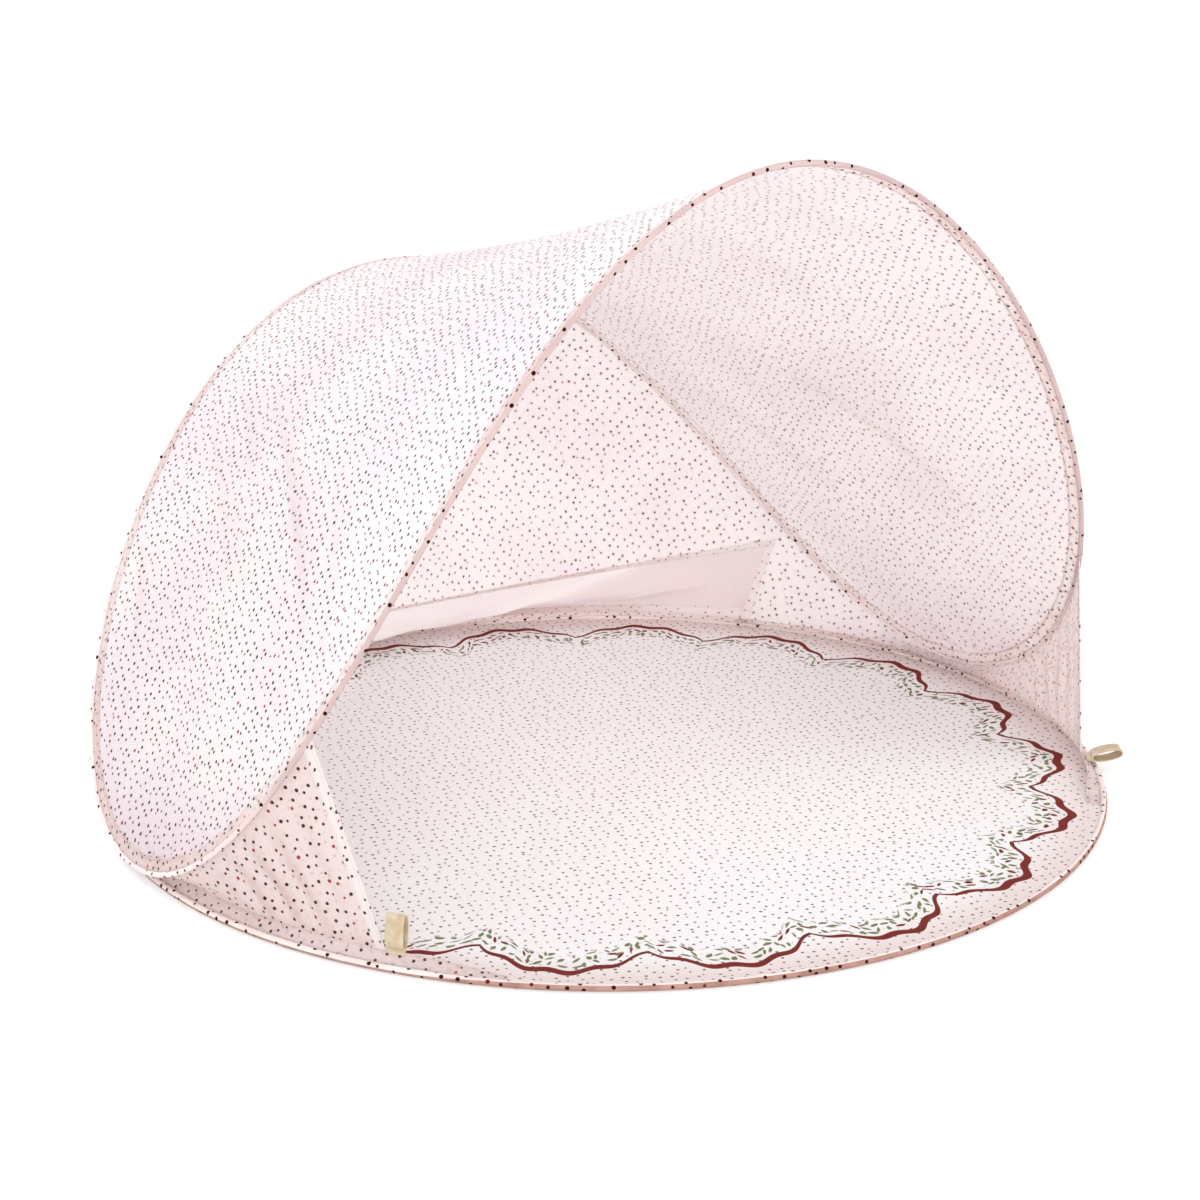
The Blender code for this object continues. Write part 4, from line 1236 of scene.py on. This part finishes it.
def canopy_piping():
    """The canopy's whole hoop: piping with its band, and the wire inside it."""
    angles = np.arange(0.0, 360.0, HOOP_STEP)
    centres = [hoop_point(angle) for angle in angles]
    stations = distances(centres, closed=True)
    lip = PIPING_SECTION[LIP_STEPS][0]
    layer = (CLOTH_THICKNESS + BAND_THICKNESS) / 2 + BAND_CLEARANCE
    wire_turns = steps(0.0, 2 * pi, WIRE_SIDES)[:-1]
    sections, rings, shares, shade = [], [], [], []
    for angle, centre, station in zip(angles, centres, stations):
        inward, normal = roof_inward(angle), roof_normal(angle)
        forward = -from_foot(angle) - BAND_CROSSES
        lies = layer * (1 - 2 * smooth(forward / BAND_CROSSING))
        gathers = PUCKER * pucker_at(station, HOOP_SEED)
        swell = 1 + FERRULE_SWELL * bell(angle - FERRULE_ANGLE, FERRULE_SPREAD)
        row = []
        for x, y in PIPING_SECTION:
            rise = lies * smooth((x - HOOP_BAND + 2 * ROOF_LAP) / ROOF_LAP)
            rise += gathers * arc(max(x - lip, 0.0) / (HOOP_BAND - lip))
            size = swell if hypot(x, y) < BEAD_REACH * PIPING_RADIUS else 1.0
            row.append(centre + inward * x * size + normal * (y * size + rise))
        sections.append(row)
        rings.append([centre + (inward * cos(turn) + normal * sin(turn)) * WIRE_RADIUS
                      for turn in wire_turns])
        shares.append([arch_share(angle)])
        # Painted shade on the bead, deepening from just in front of the feet towards the front apex.
        shade.append([smooth(forward / PIPING_SHADE_CHANGE)] * len(row))
    obj = sweep("canopy_piping", sections, stations, PIPING_PLACES, piping_cloth,
                np.repeat(shares, len(PIPING_SECTION), axis=1), shade)
    bend_with_arches(obj)
    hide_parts(*(f"canopy_channel_{part}" for part in ("front", "rear", "foot_left", "foot_right")))
    wire = sweep("canopy_wire", rings, stations, steps(0.0, 2 * pi * WIRE_RADIUS, WIRE_SIDES), steel,
                 np.repeat(shares, WIRE_SIDES, axis=1))
    bend_with_arches(wire)
    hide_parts(*(f"canopy_wire_{part}" for part in ("front", "rear", "foot_left", "foot_right")))


def rim_piping():
    """The rim's channel, whose band lies flat at the doorway and is held up by the walls elsewhere."""
    angles = np.arange(0.0, 360.0, RING_STEP)
    stations = distances([ring_point(angle) for angle in angles], closed=True)
    sections = []
    for angle, station in zip(angles, stations):
        inward, upper = band_frame(angle)
        pucker = PUCKER * pucker_at(station, RIM_SEED) * band_lift(angle)
        section = channel_section(BEAD_RADIUS, RIM_BAND, pucker)
        sections.append([ring_point(angle) + inward * x + upper * y for x, y in section])
    obj = sweep("rim_piping", sections, stations, RIM_PLACES, rim_cloth)
    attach(obj, "ground")
    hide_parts("floor_hoop_channel")


def floor_edge(angle):
    """Radius and height of the floor cloth's edge.

    It lies over the flat band at the doorway and ends under the lifted one.
    """
    lift = band_lift(angle)
    over = smooth(1 - lift / FLOOR_OVER_UNTIL)
    under = smooth((lift - FLOOR_UNDER_FROM) / (1 - FLOOR_UNDER_FROM))
    radius = blend(RING_RADIUS - RIM_BAND, RING_RADIUS - BEAD_RADIUS * FLOOR_TUCK, max(over, under))
    return radius, FLOOR_TOP + over * FLOOR_EDGE_RISE


def floor_point(angle, reach):
    """A place on the floor cloth, this share of the way from the middle to its edge."""
    radius, edge = floor_edge(angle)
    place = outward(angle) * radius * reach
    inside = (radius * reach - (RING_RADIUS - RIM_BAND - FLOOR_EDGE_START)) / (RIM_BAND - BEAD_RADIUS)
    ripple = FLOOR_RIPPLE * (1 + wrinkles(place, FLOOR_RIPPLE_LENGTH)) * (1 - reach**6)
    return place + UP * (blend(FLOOR_TOP, edge, min(max(inside, 0.0), 1.0)) + ripple - CLOTH_THICKNESS / 2)


def ground_point(angle, reach):
    """A place on the sheet under the floor cloth, which comes out to the bead where the band is lifted."""
    under_band = RING_RADIUS - RIM_BAND * (1 - band_lift(angle)) - BEAD_RADIUS * GROUND_TUCK
    return outward(angle) * min(floor_edge(angle)[0], under_band) * reach + UP * GROUND_SHEET_MIDDLE


DISC_ANGLES = steps(0.0, 360.0, 180)[:-1]
DISC_REACHES = np.concatenate([steps(0.0, 0.9, 30)[1:], [0.93, 0.955, 0.97, 0.98, 0.99, 1.0]])


def disc(name, point_at, node, material, thickness):
    """A round sheet with a point at its middle, laid on the ground."""
    points = np.array([[point_at(angle, reach) for reach in DISC_REACHES] for angle in DISC_ANGLES])
    middle = points[:, 0].mean(axis=0)
    points = np.concatenate([np.repeat(middle[None, None], len(points), axis=0), points], axis=1)
    flat = np.concatenate([points[..., :2], points[:1, :, :2]])
    obj = grid_object(name, points, flat, closed_u=True)
    work = bmesh.new()
    work.from_mesh(obj.data)
    bmesh.ops.remove_doubles(work, verts=work.verts, dist=SMALLEST_LENGTH)
    work.to_mesh(obj.data)
    work.free()
    thickened(face_outward(obj, (0.0, 0.0, -1.0)), thickness, material, coating)
    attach(obj, "ground")
    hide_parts(node)


def loop_path():
    """Middle line of a loop's webbing, from its sewn root out and back."""
    upper = []
    for share in steps(0.0, 1.0, LOOP_STEPS):
        reach = LOOP_ROOT + (LOOP_LENGTH - LOOP_ROOT) * (1 - cos(pi * share)) / 2
        upper.append((reach, LOOP_OPENING / 2 * arc(share) ** LOOP_FULLNESS + WEBBING_THICKNESS / 2))
    half = [(x, WEBBING_THICKNESS / 2) for x in steps(0.0, LOOP_ROOT, ROOT_STEPS)[:-1]] + upper[:-1]
    return half + [(LOOP_LENGTH + WEBBING_THICKNESS / 2, 0.0)] + [(x, -y) for x, y in half[::-1]]


def peg_loop(name, ring_angle, lift):
    """A folded loop of webbing, sewn to the rim's band."""
    inward, upper = band_frame(ring_angle)
    root = rim_end(ring_angle) - inward * LOOP_INSET + upper * (BAND_THICKNESS / 2 + WEBBING_THICKNESS)
    rise = radians(lift)
    ahead = outward(ring_angle) * cos(rise) + UP * sin(rise)
    above = UP * cos(rise) - outward(ring_angle) * sin(rise)
    sideways = np.cross(ahead, above)
    widths = steps(-WEBBING_WIDTH / 2, WEBBING_WIDTH / 2, WEBBING_COLUMNS)
    points = []
    for x, y in loop_path():
        curl = (1 if y > 0 else -1) * WEBBING_CURL * arc(x / LOOP_LENGTH)
        points.append([root + ahead * x + above * (y + curl * (1 - (2 * width / WEBBING_WIDTH) ** 2))
                       + sideways * width for width in widths])
    points = np.array(points)
    flat = np.array([[(station, width) for width in widths] for station in distances(loop_path())])
    obj = grid_object(name.replace("peg_loop", "webbing"), points, flat)
    face_outward(obj, points.mean(axis=(0, 1)))
    thickened(obj, WEBBING_THICKNESS * WEBBING_FILL, webbing, webbing)
    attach(obj, name)
    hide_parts(name)


# Stage, light and camera.
CAMERA_PLACE = (-2.1715, -3.1097, 1.5013)
CAMERA_TARGET = (-0.0081, 0.0056, 0.2705)
CAMERA_LENS = 82.5
SENSOR = 36.0
GROUND_REACH = 40.0
GROUND_HEIGHT = -0.0005
GROUND_COLOUR = (0.9, 0.9, 0.9, 1.0)
GROUND_GLOW = 0.52
GROUND_SHADOWED = (0.5, 0.5, 0.5, 1.0)
SKY = 1.0

# Lamps: name, place, target, size, power, and the angle of a spot's beam.
TENT_MIDDLE = (0.0, 0.0, 0.3)
LAMPS = (
    ("key_lamp", (-3.1, -4.2, 1.6), TENT_MIDDLE, 2.6, 66.0, None),
    ("door_lamp", (-0.7, -3.5, 2.3), (0.12, 0.35, 0.0), 0.5, 170.0, 15.0),
    ("side_lamp", (3.5, -2.0, 3.0), TENT_MIDDLE, 3.0, 35.0, None),
    ("back_lamp", (-2.0, 3.6, 3.2), TENT_MIDDLE, 3.0, 85.0, None),
)


def pale_floor():
    """The ground: white to the camera, with the tent's shadow kept."""
    mesh = bpy.data.meshes.new("ground_plane")
    square = ((-1, -1), (1, -1), (1, 1), (-1, 1))
    corners = [(x * GROUND_REACH, y * GROUND_REACH, GROUND_HEIGHT) for x, y in square]
    mesh.from_pydata(corners, [], [(0, 1, 2, 3)])
    obj = linked("ground_plane", mesh)
    recipe = Recipe("pale_ground", roughness=1.0, specular=0.0)
    recipe.shader.inputs["Base Color"].default_value = GROUND_COLOUR
    glow = recipe.node("Emission", Strength=GROUND_GLOW).outputs[0]
    shadowed = recipe.node("BsdfDiffuse", Color=GROUND_SHADOWED).outputs[0]
    white = recipe.feed_all(recipe.node("AddShader"), {0: glow, 1: shadowed}).outputs[0]
    recipe.show("MixShader", {0: seen(recipe), 1: recipe.shader.outputs[0], 2: white})
    mesh.materials.append(recipe.material)


def seen(recipe):
    """1 for rays from the camera, from gloss and through glass."""
    path = recipe.node("LightPath").outputs
    either = recipe.math("MAXIMUM", path["Is Camera Ray"], path["Is Glossy Ray"])
    return recipe.math("MAXIMUM", either, path["Is Transmission Ray"])


def soft_sky():
    world = bpy.data.worlds.new("studio")
    bpy.context.scene.world = world
    world.use_nodes = True
    background = world.node_tree.nodes["Background"]
    background.inputs["Color"].default_value = (1.0, 1.0, 1.0, 1.0)
    background.inputs["Strength"].default_value = SKY


def aimed(name, data, place, target):
    """An object at a place, turned to look at its target."""
    obj = linked(name, data)
    obj.location = place
    obj.rotation_euler = (Vector(target) - Vector(place)).to_track_quat("-Z", "Y").to_euler()
    return obj


def lamp(name, place, target, size, power, beam):
    """A soft round lamp, or a soft-edged spot where it has a beam."""
    data = bpy.data.lights.new(name, "SPOT" if beam else "AREA")
    data.energy = power
    if beam:
        data.spot_size = radians(beam)
        data.spot_blend = 1.0
        data.shadow_soft_size = size / 2
    else:
        data.shape = "DISK"
        data.size = size
    aimed(name, data, place, target)


def photo_camera():
    data = bpy.data.cameras.new("camera")
    data.lens = CAMERA_LENS
    data.sensor_width = SENSOR
    bpy.context.scene.camera = aimed("camera", data, CAMERA_PLACE, CAMERA_TARGET)


bpy.context.scene.view_settings.view_transform = "Standard"
photo_camera()
pale_floor()
soft_sky()
for name, place, target, size, power, beam in LAMPS:
    lamp(name, place, target, size, power, beam)

outside_cloth = printed_cloth("dotted_outside", (CLOTH_OUTSIDE, CLOTH_OUTSIDE_COOL), DOTS, OUTER_INKS,
                              PAINTED_SHADE_OUTSIDE, CLOTH_CLEARNESS)
inside_cloth = printed_cloth("dotted_inside", (CLOTH_INSIDE, CLOTH_INSIDE_WARM), INNER_DOTS, INNER_INKS,
                             PAINTED_SHADE_INSIDE, CLOTH_CLEARNESS)
gusset_cloth = printed_cloth("gusset_outside", (SHADED_GUSSET_CLOTH, SHADED_GUSSET_COOL), GUSSET_DOTS, OUTER_INKS,
                             PAINTED_SHADE_GUSSET, GUSSET_CLEARNESS)
gusset_inside = printed_cloth("gusset_inside", (CLOTH_INSIDE, CLOTH_INSIDE_WARM), INNER_DOTS, INNER_INKS,
                              PAINTED_SHADE_INSIDE, GUSSET_CLEARNESS)
hem_cloth = printed_cloth("dotted_hem", (SHADED_GUSSET_CLOTH, HEM), BAND_DOTS, OUTER_INKS, PAINTED_SHADE_GUSSET,
                          let_through=0.2, rows=(HEM_STITCH_INSET, GUSSET_HEM))
frame_cloth = printed_cloth("window_hem_cloth", (CLOTH_INSIDE, HEM), INNER_DOTS, INNER_INKS, PAINTED_SHADE_INSIDE,
                            let_through=0.3,
                            rows=(HEM_STITCH_INSET, WINDOW_SILL - HEM_STITCH_INSET, -HEM_STITCH_INSET,
                                  HEM_STITCH_INSET - WINDOW_HEM))
piping_cloth = channel_cloth("piping_tape", PIPING, (CLOTH_INSIDE, HEM), DOTS, PIPING_DOTS, PIPING_PLACES,
                             wrapped=False)
rim_cloth = channel_cloth("rim_tape", RIM_TAPE, (RIM_STRIP, RIM_STRIP_WARM), BAND_DOTS, RIM_DOTS, RIM_PLACES,
                          wrapped=True)
printed_floor = floor_cloth()
coating = coated_cloth()
webbing = webbing_cloth()
net = net_cloth()
steel = drawn_steel()

canopy_piping()
rim_piping()
roof_cloth()
back_cloth()
window_frame()
for side, label in ((1, "right"), (-1, "left")):
    front_gusset(side, label)
    rear_side(side, label)
disc("floor_cloth", floor_point, "floor_panel", printed_floor, CLOTH_THICKNESS)
disc("ground_cloth", ground_point, "ground_sheet", coating, GROUND_SHEET_THICKNESS)
for name, ring_angle, lift in LOOPS:
    peg_loop(name, ring_angle, lift)
for name in ("floor_hoop_wire", "floor_hoop_ferrule", "canopy_hoop_ferrule"):
    metal = frame["nodes"][name].data.materials
    metal.clear()
    metal.append(steel)
